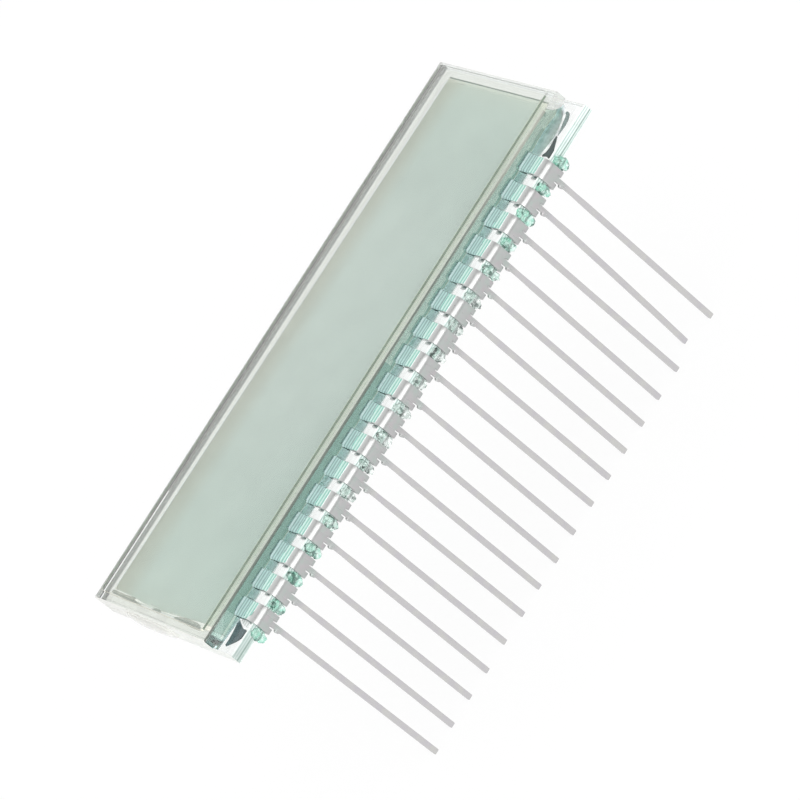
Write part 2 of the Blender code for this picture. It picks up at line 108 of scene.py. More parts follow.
def tone(name, description, *colour):
    return FloatVectorProperty(
        name=name, description=description, default=colour, size=3, subtype="COLOR", min=0, max=1
    )


class DisplayGlassSettings(bpy.types.PropertyGroup):
    """The two glass plates and what lies between them"""

    seam: length("Seam", "Chamfer ground on every edge of a plate", 0.08)
    face_colour: tone("Face", "Tint of light through a polished face", 0.985, 1.0, 0.993)
    cut_colour: tone("Cut edge", "Colour of the cut edge on the pins' side", 0.93, 0.99, 0.96)
    streak_colour: tone("Streaks", "Colour of the streaks along the cut edge", 0.15, 0.23, 0.20)
    end_colour: tone("End", "Tint of light through the cut ends", 0.98, 0.985, 0.975)
    far_colour: tone("Far edge", "Colour of the ground edge away from the pins", 0.62, 0.605, 0.60)
    ground_colour: tone("Ground seam", "Colour of the seam above the resin", 0.14, 0.16, 0.14)
    depth_colour: tone("Depth", "Tint of light that crosses the plate sideways", 0.46, 0.63, 0.61)
    crystal_colour: tone("Liquid crystal", "Tint of the liquid crystal film", 0.945, 0.982, 1.0)
    seal_colour: tone("Seal", "Colour of the seal between the plates", 0.8, 0.81, 0.78)


class DisplayFilmSettings(bpy.types.PropertyGroup):
    """The polarisers and the reflector foil"""

    front_colour: tone("Front film", "Tint of light through the front polariser", 0.98, 0.985, 0.975)
    rear_colour: tone("Rear film", "Colour of the rear polariser on its foil", 1.0, 0.95, 0.83)
    # Painted shade: the film edge colour darkens a film's cut side; painted sheen: the film end colour
    # lightens its near end.
    edge_colour: tone("Film edge", "Colour of a film's cut edge", *paint(126, 138, 124))
    end_colour: tone("Film end", "Colour of a film's edge at the near end", *paint(250, 246, 232))
    foil_colour: tone("Foil", "Colour of the reflector foil", *paint(205, 208, 206))
    corner: length("Corner", "Radius of a film's corners", 0.15)


class DisplayPinSettings(bpy.types.PropertyGroup):
    """The row of contact pins"""

    pitch: length("Pitch", "From one pin to the next", 2.54)
    sheet: length("Sheet", "Thickness of the strip", 0.25)
    clip_width: length("Clip width", "Width of the folded clip", 1.56)
    leg_width: length("Leg width", "Width of a leg", 0.48)
    front_fold: length("Front fold", "Radius of the fold above the wall", 0.60)
    rear_fold: length("Rear fold", "Radius of the fold below the wall", 0.28)
    lean: length("Lean", "How far the bent pin's tip leans to the glass", 0.95)
    bent: IntProperty(name="Bent pin", description="Number of the bent pin", default=16, min=1, max=17)
    wobble: FloatProperty(
        name="Wobble",
        description="Largest tilt of a pin out of line",
        default=math.radians(0.3),
        subtype="ANGLE",
    )
    seed: IntProperty(name="Seed", description="Seed of the tilts", default=4)
    colour: tone("Tin", "Colour of the tinned strip", 0.62, 0.615, 0.60)


class DisplayResinSettings(bpy.types.PropertyGroup):
    """The clear resin that locks the pins and closes the fill port"""

    toe: length("Toe", "Reach of the bead between two clips", 1.07)
    tongue: length("Tongue", "Reach of the thick resin over a clip", 1.62)
    lip: length("Lip", "Reach of the thin resin over a clip", 2.08)
    bulge: length("Bulge", "Reach of the bead past the last clip", 1.40)
    stop: length("Stop", "End of the bead to the end of the glass", 0.50)
    colour: tone("Resin", "Tint of light through the resin", 0.76, 0.93, 0.94)
    foot_colour: tone("Foot", "Tint of light through the resin into the ledge", 0.80, 0.83, 0.86)
    # Painted glow: the thin resin over a clip is coloured as bright as the metal it covers and its
    # reflections.
    glow_colour: tone("Thin resin", "Colour of the thin resin over a clip", 0.32, 0.86, 0.70)
    bead_colour: tone("Edge resin", "Tint of light through the beads", 0.80, 0.93, 0.88)
    plug_colour: tone("Plug", "Tint of the resin in the fill port", 0.95, 0.95, 0.92)
    seed: IntProperty(name="Seed", description="Seed of the beads' sizes", default=11)


class DisplayStageSettings(bpy.types.PropertyGroup):
    """Floor, lamps and camera"""

    floor_colour: tone("Floor", "Colour of the floor", 0.95, 0.95, 0.95)
    floor_size: length("Floor size", "Side of the floor", 6000)
    lens: FloatProperty(name="Lens", description="Focal length in millimetres", default=277.31)
    camera_place: FloatVectorProperty(
        name="Camera",
        description="Where the camera stands",
        default=(-0.08319, -0.37515, 0.28435),
        size=3,
        subtype="TRANSLATION",
    )
    camera_turn: FloatVectorProperty(
        name="Camera turn",
        description="How the camera is turned",
        default=tuple(math.radians(angle) for angle in (42.94298, 39.37500, -46.67667)),
        size=3,
        subtype="EULER",
    )


# Node trees


class Nodes:
    """A node tree that is filled branch by branch."""

    def __init__(self, tree):
        self.tree = tree

    def node(self, kind, inputs=None, **settings):
        """A new node. Its inputs take a socket, a node, a plain value or the name of an axis."""
        node = self.tree.nodes.new(kind)
        for name, value in settings.items():
            setattr(node, name, value)
        for key, value in (inputs or {}).items():
            socket = node.inputs[key]
            if isinstance(value, str):
                value = self.along(value)
            if isinstance(value, bpy.types.Node):
                value = value.outputs[0]
            if isinstance(value, bpy.types.NodeSocket):
                self.tree.links.new(value, socket)
            elif socket.type == "RGBA":
                socket.default_value = (*value[:3], 1)
            else:
                socket.default_value = value
        return node

    def math(self, operation, first, second=0.0):
        return self.node("ShaderNodeMath", {0: first, 1: second}, operation=operation).outputs[0]

    def vector(self, x, y, z):
        return self.node("ShaderNodeCombineXYZ", {0: x, 1: y, 2: z}).outputs[0]

    def along(self, axis):
        """One of the piece's own coordinates, in metres."""
        place = self.node("ShaderNodeTexCoord").outputs["Object"]
        return self.node("ShaderNodeSeparateXYZ", {0: place}).outputs[axis]

    def off(self, value, middle=0.0):
        """How far the value is from the middle."""
        return self.math("ABSOLUTE", self.math("SUBTRACT", value, middle))

    def rise(self, value, low, high, bottom=0.0, top=1.0):
        """A straight rise from the bottom to the top while the value goes from low to high."""
        ends = {"Value": value, "From Min": low, "From Max": high, "To Min": bottom, "To Max": top}
        return self.node("ShaderNodeMapRange", ends).outputs["Result"]

    def level(self, axis, base, low, high, bottom=0.0, top=1.0):
        """A rise along an axis, between two levels in millimetres from the base."""
        return self.rise(axis, base + low * MM, base + high * MM, bottom, top)

    def grain(self, feature, detail=2.0, stretch=(1, 1, 1)):
        """Noise on the piece's own coordinates, with features of so many millimetres."""
        place = self.node("ShaderNodeTexCoord").outputs["Object"]
        mapping = self.node("ShaderNodeMapping", {"Vector": place, "Scale": stretch})
        look = {"Vector": mapping, "Scale": 1 / (feature * MM), "Detail": detail}
        return self.node("ShaderNodeTexNoise", look).outputs["Fac"]

    def spread(self, grain, low, high):
        """The noise carried over to the range given."""
        return self.rise(grain, *NOISE_RANGE, low, high)

    def ridges(self, axis, period, unevenness=2.5):
        """0 to 1 and back again along an axis, once in so many millimetres, a little unevenly."""
        turns = self.math("MULTIPLY", axis, 2 * math.pi / (period * MM))
        uneven = self.math("MULTIPLY", self.grain(0.4, 1.0, (0.2, 1, 1)), unevenness)
        return self.rise(self.math("SINE", self.math("ADD", turns, uneven)), -1.0, 1.0)

    def mix(self, share, first, second, blend="MIX"):
        """The first colour where the share is 0 and the second where it is 1."""
        ends = {"Factor": share, 6: first, 7: second}
        return self.node("ShaderNodeMix", ends, data_type="RGBA", blend_type=blend).outputs[2]

    def times(self, first, second):
        return self.mix(1.0, first, second, "MULTIPLY")

    def between(self, grain, first, second):
        """A colour that goes from the first to the second with the noise."""
        return self.mix(self.rise(grain, *NOISE_RANGE), first, second)

    def blend(self, share, first, second):
        """Two shaders mixed."""
        return self.node("ShaderNodeMixShader", {"Fac": share, 1: first, 2: second})

    def clear(self, tint):
        """A face that light crosses unbent, with the tint given."""
        return self.node("ShaderNodeBsdfTransparent", {"Color": tint})


class Look(Nodes):
    """A material in the making."""

    def __init__(self, name):
        self.material = bpy.data.materials.new(name)
        self.material.use_nodes = True
        super().__init__(self.material.node_tree)
        self.tree.nodes.clear()

    def surface(self, colour, rough, clear=0.0, bumps=None, **values):
        """The principled shader. Bumps are a grain and a height, and _ stands for a space."""
        inputs = {name.replace("_", " "): value for name, value in values.items()}
        inputs |= {"Base Color": colour, "Roughness": rough, "Transmission Weight": clear}
        if bumps:
            bump = {"Height": bumps[0], "Distance": bumps[1] * MM}
            inputs["Normal"] = self.node("ShaderNodeBump", bump)
        return self.node("ShaderNodeBsdfPrincipled", inputs)

    def done(self, shader, light=None):
        """The material. Lamps shine through it with the light given, so it casts no dark shadow."""
        if light:
            shadow = self.node("ShaderNodeLightPath").outputs["Is Shadow Ray"]
            shader = self.blend(shadow, shader, self.clear(light))
        self.node("ShaderNodeOutputMaterial", {"Surface": shader})
        return self.material


def shade(colour, share):
    return tuple(value * share for value in colour)


def clear_material(name, colour, feature, rough, bumps=0.0, ior=RESIN_IOR, light=(0.99, 1.0, 0.995)):
    """Glass or resin: clear, faintly uneven, with lamps shining through it."""
    look = Look(name)
    grain = look.grain(feature)
    shader = look.surface(
        look.between(grain, shade(colour, 0.985), colour),
        look.spread(grain, *rough),
        IOR=ior,
        clear=1.0,
        bumps=(look.grain(feature * 1.7), bumps) if bumps else None,
    )
    return look.done(shader, light)


def bonded_material(name, tint, far_tint=None, feature=3, dim=None):
    """A face where two clear pieces touch, which neither bends nor mirrors light.

    The far tint, if given, takes over towards the far end of the display.
    """
    look = Look(name)
    colour = look.between(look.grain(feature), dim or shade(tint, 0.995), tint)
    if far_tint:
        colour = look.mix(look.level("X", RIGHT, -6.5, -3.5), colour, far_tint)
    return look.done(look.clear(colour))


def cut_edge_material(colour, streak):
    """The scored and broken edge of a plate, with a streaky band along its middle."""
    look = Look("cut edge")
    lines = look.grain(0.10, 2.0, (0.04, 1, 1))
    low = REAR_LOW.z
    fall = look.level("Z", low, 1.02, 1.06)
    band = look.math("SUBTRACT", look.level("Z", low, 0.08, 0.16), fall)
    dark = look.rise(look.off("Z", low + 0.44 * MM), 0.09 * MM, 0.04 * MM, 0.0, 0.7)
    streaks = look.mix(look.ridges("Z", 0.22), (0.42, 0.53, 0.50), (0.82, 0.91, 0.885))
    near = look.rise("X", FIRST_PIN, LEFT + 1.5 * MM, 0.0, 0.6)
    streaks = look.mix(near, streaks, (0.34, 0.40, 0.385))
    shader = look.surface(
        look.mix(band, colour, look.mix(dark, streaks, streak)),
        look.spread(lines, 0.05, 0.2),
        IOR=GLASS_IOR,
        clear=0.35,
        bumps=(lines, 0.01),
    )
    return look.done(shader, (0.9, 0.97, 0.95))


def clear_end_material(colour):
    """A cut end so clear that much of the light goes straight through."""
    look = Look("cut end")
    patches = look.grain(0.35)
    glass = look.surface(
        look.between(patches, shade(colour, 0.6), colour),
        look.spread(patches, 0.02, 0.12),
        IOR=GLASS_IOR,
        clear=1.0,
        bumps=(patches, 0.004),
    )
    return look.done(look.blend(0.7, glass, look.clear((0.96, 0.97, 0.96))), (0.97, 0.98, 0.97))


def ground_material(name, colour, clear, far_colour=None):
    """Ground glass: a matt surface that still lets some light through."""
    look = Look(name)
    fine = look.grain(0.2, 3.0)
    ground = look.between(fine, shade(colour, 0.85), colour)
    if far_colour:
        ground = look.mix(look.level("X", RIGHT, -14, -5), ground, far_colour)
    rough = look.spread(fine, 0.3, 0.5)
    shader = look.surface(ground, rough, IOR=GLASS_IOR, clear=clear)
    return look.done(shader, (0.9, 0.92, 0.91))


# Colours the films' cut edges: the dark ones hold painted shade, the cream near end a painted sheen.
def film_edge_material(name, colour):
    look = Look(name)
    patchy = look.between(look.grain(0.4), shade(colour, 0.8), colour)
    return look.done(look.surface(patchy, 0.4))


def rear_film_material(colour):
    """Satin film on foil: the reflector's faint grain, duller at both ends and on the far side."""
    look = Look("rear polariser on foil")
    near_end = look.mix(look.level("X", 0.0, -16, -4), (0.95, 0.975, 0.96), WHITE)
    ends = look.mix(look.level("X", 0.0, 12, 24), near_end, (0.85, 0.875, 0.86))
    far_side = look.mix(look.level("Y", 0.0, 14.8, 16.4), WHITE, (0.95, 0.915, 0.89))
    plain = look.between(look.grain(0.12, 3.0), shade(colour, 0.975), colour)
    toned = look.times(look.times(ends, far_side), plain)
    return look.done(look.surface(toned, 0.5, Specular_IOR_Level=0.2))


def foil_material(colour):
    """Reflector foil with a fine rolled grain along the display."""
    look = Look("reflector foil")
    rolled = look.grain(0.15, 3.0, (0.06, 1, 1))
    shader = look.surface(
        look.between(rolled, shade(colour, 0.9), colour),
        look.spread(rolled, 0.28, 0.4),
        Metallic=0.85,
        bumps=(rolled, 0.004),
    )
    return look.done(shader)


def tin_material(colour):
    """Tinned strip: bright with drawn streaks, greyer on the clips, matt and scored under the resin.
    Painted light and shade: a lighter top and a darker fold on each clip, a white painted highlight at each
    tip's end and near-black painted shade on the strip's sides under the resin.
    """

    def toned(*shares):
        return tuple(value * share for value, share in zip(colour, shares))

    look = Look("tinned strip")
    streaks = look.grain(0.10, 2.0, (1, 1, 0.05))
    plain = look.between(look.grain(0.9), toned(0.95, 0.93, 1.0), colour)
    wall = look.between(look.grain(0.6), toned(0.82, 0.79, 0.83), toned(0.74, 0.83, 0.81))
    on_clip = look.level("Z", LEDGE, -2.9, -1.9)
    clip = toned(0.79, 0.81, 0.82)
    # Painted light and shade: the clip's top is a lighter copy of the clip tone, the start of its bend a
    # darker one.
    top = look.mix(look.level("Y", 0.0, -0.05, 0.35), shade(clip, 0.8), shade(clip, 1.3))
    # Painted shade: the fold just below the ledge is a darker copy of the clip tone, which dims its
    # highlight.
    fold = look.mix(look.level("Z", LEDGE, -0.05, 0.15), shade(clip, 0.78), top)
    on_fold = look.level("Z", LEDGE, -0.5, -0.3)
    outside = look.mix(on_fold, look.mix(on_clip, plain, wall), fold)
    tip = look.mix(look.ridges("Y", 0.26), (0.42, 0.52, 0.51), (0.86, 0.96, 0.92))
    # Painted highlight: the curled end of each tip is white.
    tip = look.mix(look.level("Y", FRONT_SIDE, -0.50, -0.46), tip, WHITE)
    above = look.level("Z", LEDGE, -0.05, 0.0)
    inward = look.level("Y", FRONT_SIDE, -1.44, -1.38)
    wetted = look.math("MULTIPLY", inward, above)
    # Painted shade: the strip's side faces above the ledge, inward of the fold, are near black.
    bond = look.math("MULTIPLY", look.level("Y", 0.0, 0.45, 0.6), above)
    normal = look.node("ShaderNodeNewGeometry").outputs["True Normal"]
    across = look.node("ShaderNodeSeparateXYZ", {0: normal}).outputs["X"]
    cut = look.math("MULTIPLY", bond, look.math("GREATER_THAN", look.off(across), 0.5))
    rough = look.math("ADD", look.spread(streaks, 0.13, 0.24), look.math("MULTIPLY", on_clip, 0.14))
    shader = look.surface(
        look.mix(cut, look.mix(wetted, outside, tip), (0.05, 0.09, 0.085)),
        look.math("MAXIMUM", rough, look.math("MULTIPLY", wetted, 0.5)),
        Metallic=look.rise(wetted, 0.0, 1.0, 1.0, 0.2),
        bumps=(streaks, 0.002),
    )
    return look.done(shader)


def thin_resin_material(name, colour):
    """Resin with a painted glow: a bright colour in pale stripes that stands for the light of the metal
    under it and its reflections.
    """
    look = Look(name)
    pale = tuple(value * 0.4 + 0.6 for value in colour)
    shader = look.surface(
        look.mix(look.ridges("Y", 0.31, 1.5), shade(colour, 0.66), pale),
        0.12,
        IOR=RESIN_IOR,
        clear=0.3,
        bumps=(look.grain(0.3), 0.01),
    )
    return look.done(shader, (0.8, 0.95, 0.9))


def bead_material(colour):
    """Clear resin beads, darker towards their outline, in spots and in a belt under the glass."""
    look = Look("edge resin")
    patches = look.grain(0.32, 0.0)
    rim = look.rise(look.node("ShaderNodeLayerWeight").outputs["Facing"], 0.52, 0.9)
    belt = look.rise(look.off("Z", REAR_LOW.z - 0.03 * MM), 0.16 * MM, 0.06 * MM, 0.0, 0.6)
    spots = look.rise(look.grain(0.45, 1.0), 0.57, 0.64, 0.0, 0.9)
    dark = look.math("MAXIMUM", look.math("MAXIMUM", rim, belt), spots)
    at_ends = look.rise(look.off("X"), 9 * MM, 15 * MM)
    grey = look.between(patches, (0.56, 0.63, 0.60), (0.97, 1.0, 0.985))
    mint = look.between(patches, (0.40, 0.74, 0.62), colour)
    deep = look.mix(at_ends, (0.05, 0.075, 0.068), (0.02, 0.085, 0.065))
    shader = look.surface(
        look.mix(dark, look.mix(at_ends, grey, mint), deep),
        0.06,
        IOR=RESIN_IOR,
        clear=0.85,
        bumps=(look.grain(0.34), 0.06),
    )
    return look.done(shader, (0.8, 0.95, 0.9))


def plug_material(colour):
    """Cloudy resin with a wavy surface."""
    look = Look("plug resin")
    shader = look.surface(
        look.between(look.grain(0.8), shade(colour, 0.92), colour),
        0.2,
        IOR=RESIN_IOR,
        clear=0.5,
        bumps=(look.grain(1.2), 0.015),
    )
    return look.done(shader, (0.9, 0.9, 0.88))


def seal_material(colour):
    """Thin seal between the plates, seen as a faint veil."""
    look = Look("seal")
    cloudy = look.between(look.grain(0.3), shade(colour, 0.9), colour)
    veil = look.surface(cloudy, 0.6)
    return look.done(look.blend(0.08, look.clear((0.985, 0.985, 0.98)), veil))


# Meshes


def linked(name, data):
    """A new object in the scene."""
    obj = bpy.data.objects.new(name, data)
    bpy.context.scene.collection.objects.link(obj)
    return obj


def closed_mesh(name, bm):
    """The bmesh as a mesh, with its faces turned outwards."""
    bmesh.ops.recalc_face_normals(bm, faces=bm.faces)
    mesh = bpy.data.meshes.new(name)
    bm.to_mesh(mesh)
    bm.free()
    return mesh


def as_mesh(obj, name):
    """The object with its modifiers worked in, as a plain mesh."""
    bpy.context.view_layer.update()
    graph = bpy.context.evaluated_depsgraph_get()
    mesh = bpy.data.meshes.new_from_object(obj.evaluated_get(graph))
    mesh.name = name
    return mesh


def smoothed(mesh, degrees):
    """Smooth shading, apart from the edges that are sharper than the angle given."""
    mesh.shade_smooth()
    mesh.set_sharp_from_angle(angle=math.radians(degrees))


def finished(name, bm, materials, nodes, smooth=None):
    """A piece from a bmesh, shown in place of the CAD nodes named."""
    mesh = closed_mesh(name, bm)
    for material in materials:
        mesh.materials.append(material)
    if smooth:
        smoothed(mesh, smooth)
    dress(linked(name, mesh), nodes)


def dress(obj, nodes):
    if not obj.data.polygons:
        raise RuntimeError(f"{obj.name} came out empty")
    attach(obj, "root")
    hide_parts(*nodes)


def around(ring):
    """Each item of a closed ring with the one after it."""
    return zip(ring, [*ring[1:], ring[0]])


def slab(stations, rows, z_low, z_high, seam, pick):
    """A plate with seamed edges, split in a grid so that each part of a face takes its own finish.

    A station is a pair: X on the top face and X on the bottom face. A row is Y as a function of X.
    Pick gives a material index from the middle of a face and the side it is on. The side called
    band is a strip of wall below the upper chamfer.
    """
    bm = bmesh.new()
    band = 0.09 * MM
    y_low = min(rows[0](x) for x, _ in stations)
    y_high = max(rows[-1](x) for x, _ in stations)
    x_low, x_high = stations[0][0], stations[-1][0]

    def inner(value, low, high):
        return min(max(value, low + seam), high - seam)

    def rim(grid):
        far = [line[-1] for line in grid[1:]]
        near = [line[0] for line in grid[-2:0:-1]]
        return [*grid[0], *far, *grid[-1][-2::-1], *near]

    def face(corners, side):
        made = bm.faces.new(corners)
        made.material_index = pick(made.calc_center_median(), side)

    places = [[[(pair[which], row(pair[which])) for row in rows] for pair in stations] for which in (0, 1)]
    grids = []
    for plan, z in zip(places, (z_high, z_low)):
        grid = []
        for line in plan:
            inset = [(inner(x, x_low, x_high), inner(y, y_low, y_high), z) for x, y in line]
            grid.append([bm.verts.new(place) for place in inset])
        grids.append(grid)
    rings = [rim(grids[0])]
    for which, z in ((0, z_high - seam), (0, z_high - seam - band), (1, z_low + seam)):
        rings.append([bm.verts.new((x, y, z)) for x, y in rim(places[which])])
    rings.append(rim(grids[1]))
    for grid, side in zip(grids, ("top", "bottom")):
        for line, after in zip(grid, grid[1:]):
            for k in range(len(rows) - 1):
                face((line[k], after[k], after[k + 1], line[k + 1]), side)
    for upper, lower, part in zip(rings, rings[1:], ("chamfer", "band", "wall", "chamfer")):
        for (a, b), (c, d) in zip(around(upper), around(lower)):
            face((a, b, d, c), part)
    return bm


def sheet(outline, z_low, z_high, top=0, bottom=0, side=0):
    """A flat sheet with its own finish on the top, the bottom and the edge."""
    bm = bmesh.new()
    lower, upper = ([bm.verts.new((x, y, z)) for x, y in outline] for z in (z_low, z_high))
    bm.faces.new(lower).material_index = bottom
    bm.faces.new(upper).material_index = top
    for (a, b), (c, d) in zip(around(lower), around(upper)):
        bm.faces.new((a, b, d, c)).material_index = side
    return bm


def split_across(bm, x):
    """Cuts every face of the bmesh along the plane at X."""
    parts = [*bm.verts, *bm.edges, *bm.faces]
    bmesh.ops.bisect_plane(bm, geom=parts, dist=1e-9, plane_co=(x, 0, 0), plane_no=(1, 0, 0))


def from_corner(points, end=LEFT, inward=1, up=1):
    """Points in millimetres from an end of the display and the front plate's side."""
    return [(end + inward * x * MM, FRONT_SIDE + up * y * MM) for x, y in points]


def rounded_polygon(points):
    """The polygon with its corners cut, which rounds them."""
    cut = []
    for point, after in around(points):
        for share in (0.25, 0.75):
            cut.append(tuple(a * (1 - share) + b * share for a, b in zip(point, after)))
    return cut


def rounded_outline(low, high, radius, steps):
    left, right = low[0] + radius, high[0] - radius
    near, far = low[1] + radius, high[1] - radius
    outline = []
    for quarter, (x, y) in enumerate(((left, near), (right, near), (right, far), (left, far)), 2):
        for step in range(steps + 1):
            angle = 0.5 * math.pi * (quarter + step / steps)
            outline.append((x + radius * math.cos(angle), y + radius * math.sin(angle)))
    return outline


def smooth_step(value):
    value = min(max(value, 0.0), 1.0)
    return value * value * (3 - 2 * value)


def over_clip(x, settings, spill):
    """1 where a clip lies under the resin, 0 between two clips."""
    number = round((x - FIRST_PIN) / settings.pitch)
    number = min(max(number, 0), len(PINS) - 1)
    off = abs(x - FIRST_PIN - number * settings.pitch) - settings.clip_width / 2
    return 1.0 - smooth_step((off + 0.02 * MM) / spill)


def plain_toe(x, resin, pins):
    """Reach of the bead from the front plate where no clip lifts it."""
    taper = 2.59 * MM
    bulge_at = RIGHT - resin.stop - taper
    clip_edge = FIRST_PIN - pins.clip_width / 2
    at_end, at_clip = 0.35 * MM, 0.62 * MM
    reach = resin.toe
    if x < clip_edge:
        reach = at_end + (at_clip - at_end) * (x - LEFT) / (clip_edge - LEFT)
    elif x < FIRST_PIN:
        reach = at_clip + (resin.toe - at_clip) * smooth_step((x - clip_edge) / (0.6 * MM))
    off = abs(x - bulge_at) / (2.0 * MM)
    if off < 1:
        reach += (resin.bulge - resin.toe) * (0.5 + 0.5 * math.cos(math.pi * off))
    past = (x - bulge_at) / taper
    if past > 0:
        reach *= math.sqrt(max(1 - past * past, 0.02))
    return reach * (1 + 0.03 * noise.noise(Vector((x * 900, 3.7, 0.4))))


# Operators


class DISPLAY_OT_glass(bpy.types.Operator):
    """Make the two glass plates"""

    bl_idname = "display.glass"
    bl_label = "Glass plates"

    def execute(self, context):
        glass = context.scene.display_glass
        resin = context.scene.display_resin
        pins = context.scene.display_pins
        polish = (2, (0.0, 0.015), 0.0, GLASS_IOR)
        FACE, CUT, FAR, BONDED, END, GROUND, DEPTH, SHADED_FAR_REAR, MARGIN, NEAR_MARGIN, GAP, NEAR_END = range(12)
        materials = [
            clear_material("polished glass", glass.face_colour, *polish),
            cut_edge_material(glass.cut_colour, glass.streak_colour),
            ground_material("ground far edge", glass.far_colour, 0.25),
            bonded_material("bonded glass", (0.995, 1.0, 0.998)),
            clear_end_material(glass.end_colour),
            ground_material("ground seam", glass.ground_colour, 0.2, (0.34, 0.34, 0.30)),
            bonded_material("depth of glass", glass.depth_colour, (0.48, 0.57, 0.55)),
            # Painted shade: the rear plate's far edge is a darker copy of the far-edge grey.
            ground_material("ground far edge, rear", shade(glass.far_colour, 0.47), 0.25),
            clear_material("glass margin", (0.62, 0.64, 0.60), *polish),
            clear_material("near margin", (0.53, 0.55, 0.48), *polish),
            # Painted shade: the far edges beside the gap between the plates are darker still.
            ground_material("ground edge at the seal", shade(glass.far_colour, 0.2), 0.1),
            ground_material("cut end, near", (0.95, 0.95, 0.92), 0.3),
        ]
        seam = glass.seam
        strip = seam + 0.05 * MM
        wet_top = RIGHT - 1.83 * MM
        wet_foot = RIGHT - 0.95 * MM

        def pick_wall(middle, at_gap, far, pin_side):
            if middle.y > FAR_SIDE - 0.1 * MM:
                return GAP if at_gap else far
            if middle.x < LEFT + 0.1 * MM:
                return NEAR_END
            return END if middle.x > RIGHT - 0.1 * MM else pin_side

        def in_cell(middle):
            inside = LEFT + SEAL_INSET < middle.x < RIGHT - SEAL_INSET
            return BONDED if inside and middle.y < FAR_SIDE - SEAL_INSET else FACE

        def pick_front(middle, side):
            if side == "top":
                if middle.y < FRONT_SIDE + strip and middle.x < wet_top:
                    return GROUND
                inside = FRONT_FILM_LOW.x < middle.x < FRONT_FILM_HIGH.x
                covered = inside and FRONT_FILM_LOW.y < middle.y < FRONT_FILM_HIGH.y
                return BONDED if covered else FACE
            if side == "bottom":
                return in_cell(middle)
            pin_side = DEPTH if middle.x < (wet_top + wet_foot) / 2 else END
            upper = side == "band" or side == "chamfer" and middle.z > LEDGE + 0.5 * MM
            if pin_side == DEPTH and upper:
                pin_side = GROUND
            return pick_wall(middle, middle.z < FRONT_LOW.z + seam, FAR, pin_side)

        def pick_rear(middle, side):
            if side == "top":
                if middle.y > FRONT_SIDE:
                    return in_cell(middle)
                under = middle.y > toe_line(middle.x) and middle.x < RIGHT - resin.stop
                return BONDED if under else FACE
            if side == "bottom":
                if middle.y < FILM_SIDE:
                    return FACE
                if MARGIN_END < middle.x < FILM_END and middle.y < film_far(middle.x):
                    return BONDED
                return NEAR_MARGIN if middle.x < MARGIN_END else MARGIN
            return pick_wall(middle, middle.z > REAR_HIGH.z - seam, SHADED_FAR_REAR, CUT)

        def toe_line(x):
            return FRONT_SIDE - plain_toe(x, resin, pins)

        def straight(*rows):
            return [lambda x, y=y: y for y in rows]

        before = (LEFT, LEFT + SEAL_INSET, FRONT_FILM_LOW.x, RIGHT - 3 * MM)
        after = (RIGHT - 0.8 * MM, FRONT_FILM_HIGH.x, RIGHT)
        stations = [*zip(before, before), (wet_top, wet_foot), *zip(after, after)]
        far_rows = straight(FAR_SIDE - SEAL_INSET, FAR_SIDE)
        rows = straight(FRONT_SIDE, FRONT_SIDE + strip, FRONT_FILM_LOW.y, FRONT_FILM_HIGH.y)
        bm = slab(stations, rows + far_rows, FRONT_LOW.z, FRONT_HIGH.z, seam, pick_front)
        finished("front_plate", bm, materials, ["front_glass"])

        count = 110
        span = RIGHT - resin.stop - LEFT
        toe_x = [LEFT + span * step / count for step in range(count + 1)]
        rear_x = sorted({*toe_x, LEFT + SEAL_INSET, MARGIN_END, FILM_END, RIGHT - SEAL_INSET, RIGHT})
        rows = [*straight(REAR_LOW.y), toe_line, *straight(FRONT_SIDE, FILM_SIDE), film_far]
        bm = slab([*zip(rear_x, rear_x)], rows + far_rows, REAR_LOW.z, REAR_HIGH.z, seam, pick_rear)
        finished("rear_plate", bm, materials, ["rear_glass"])
        return {"FINISHED"}


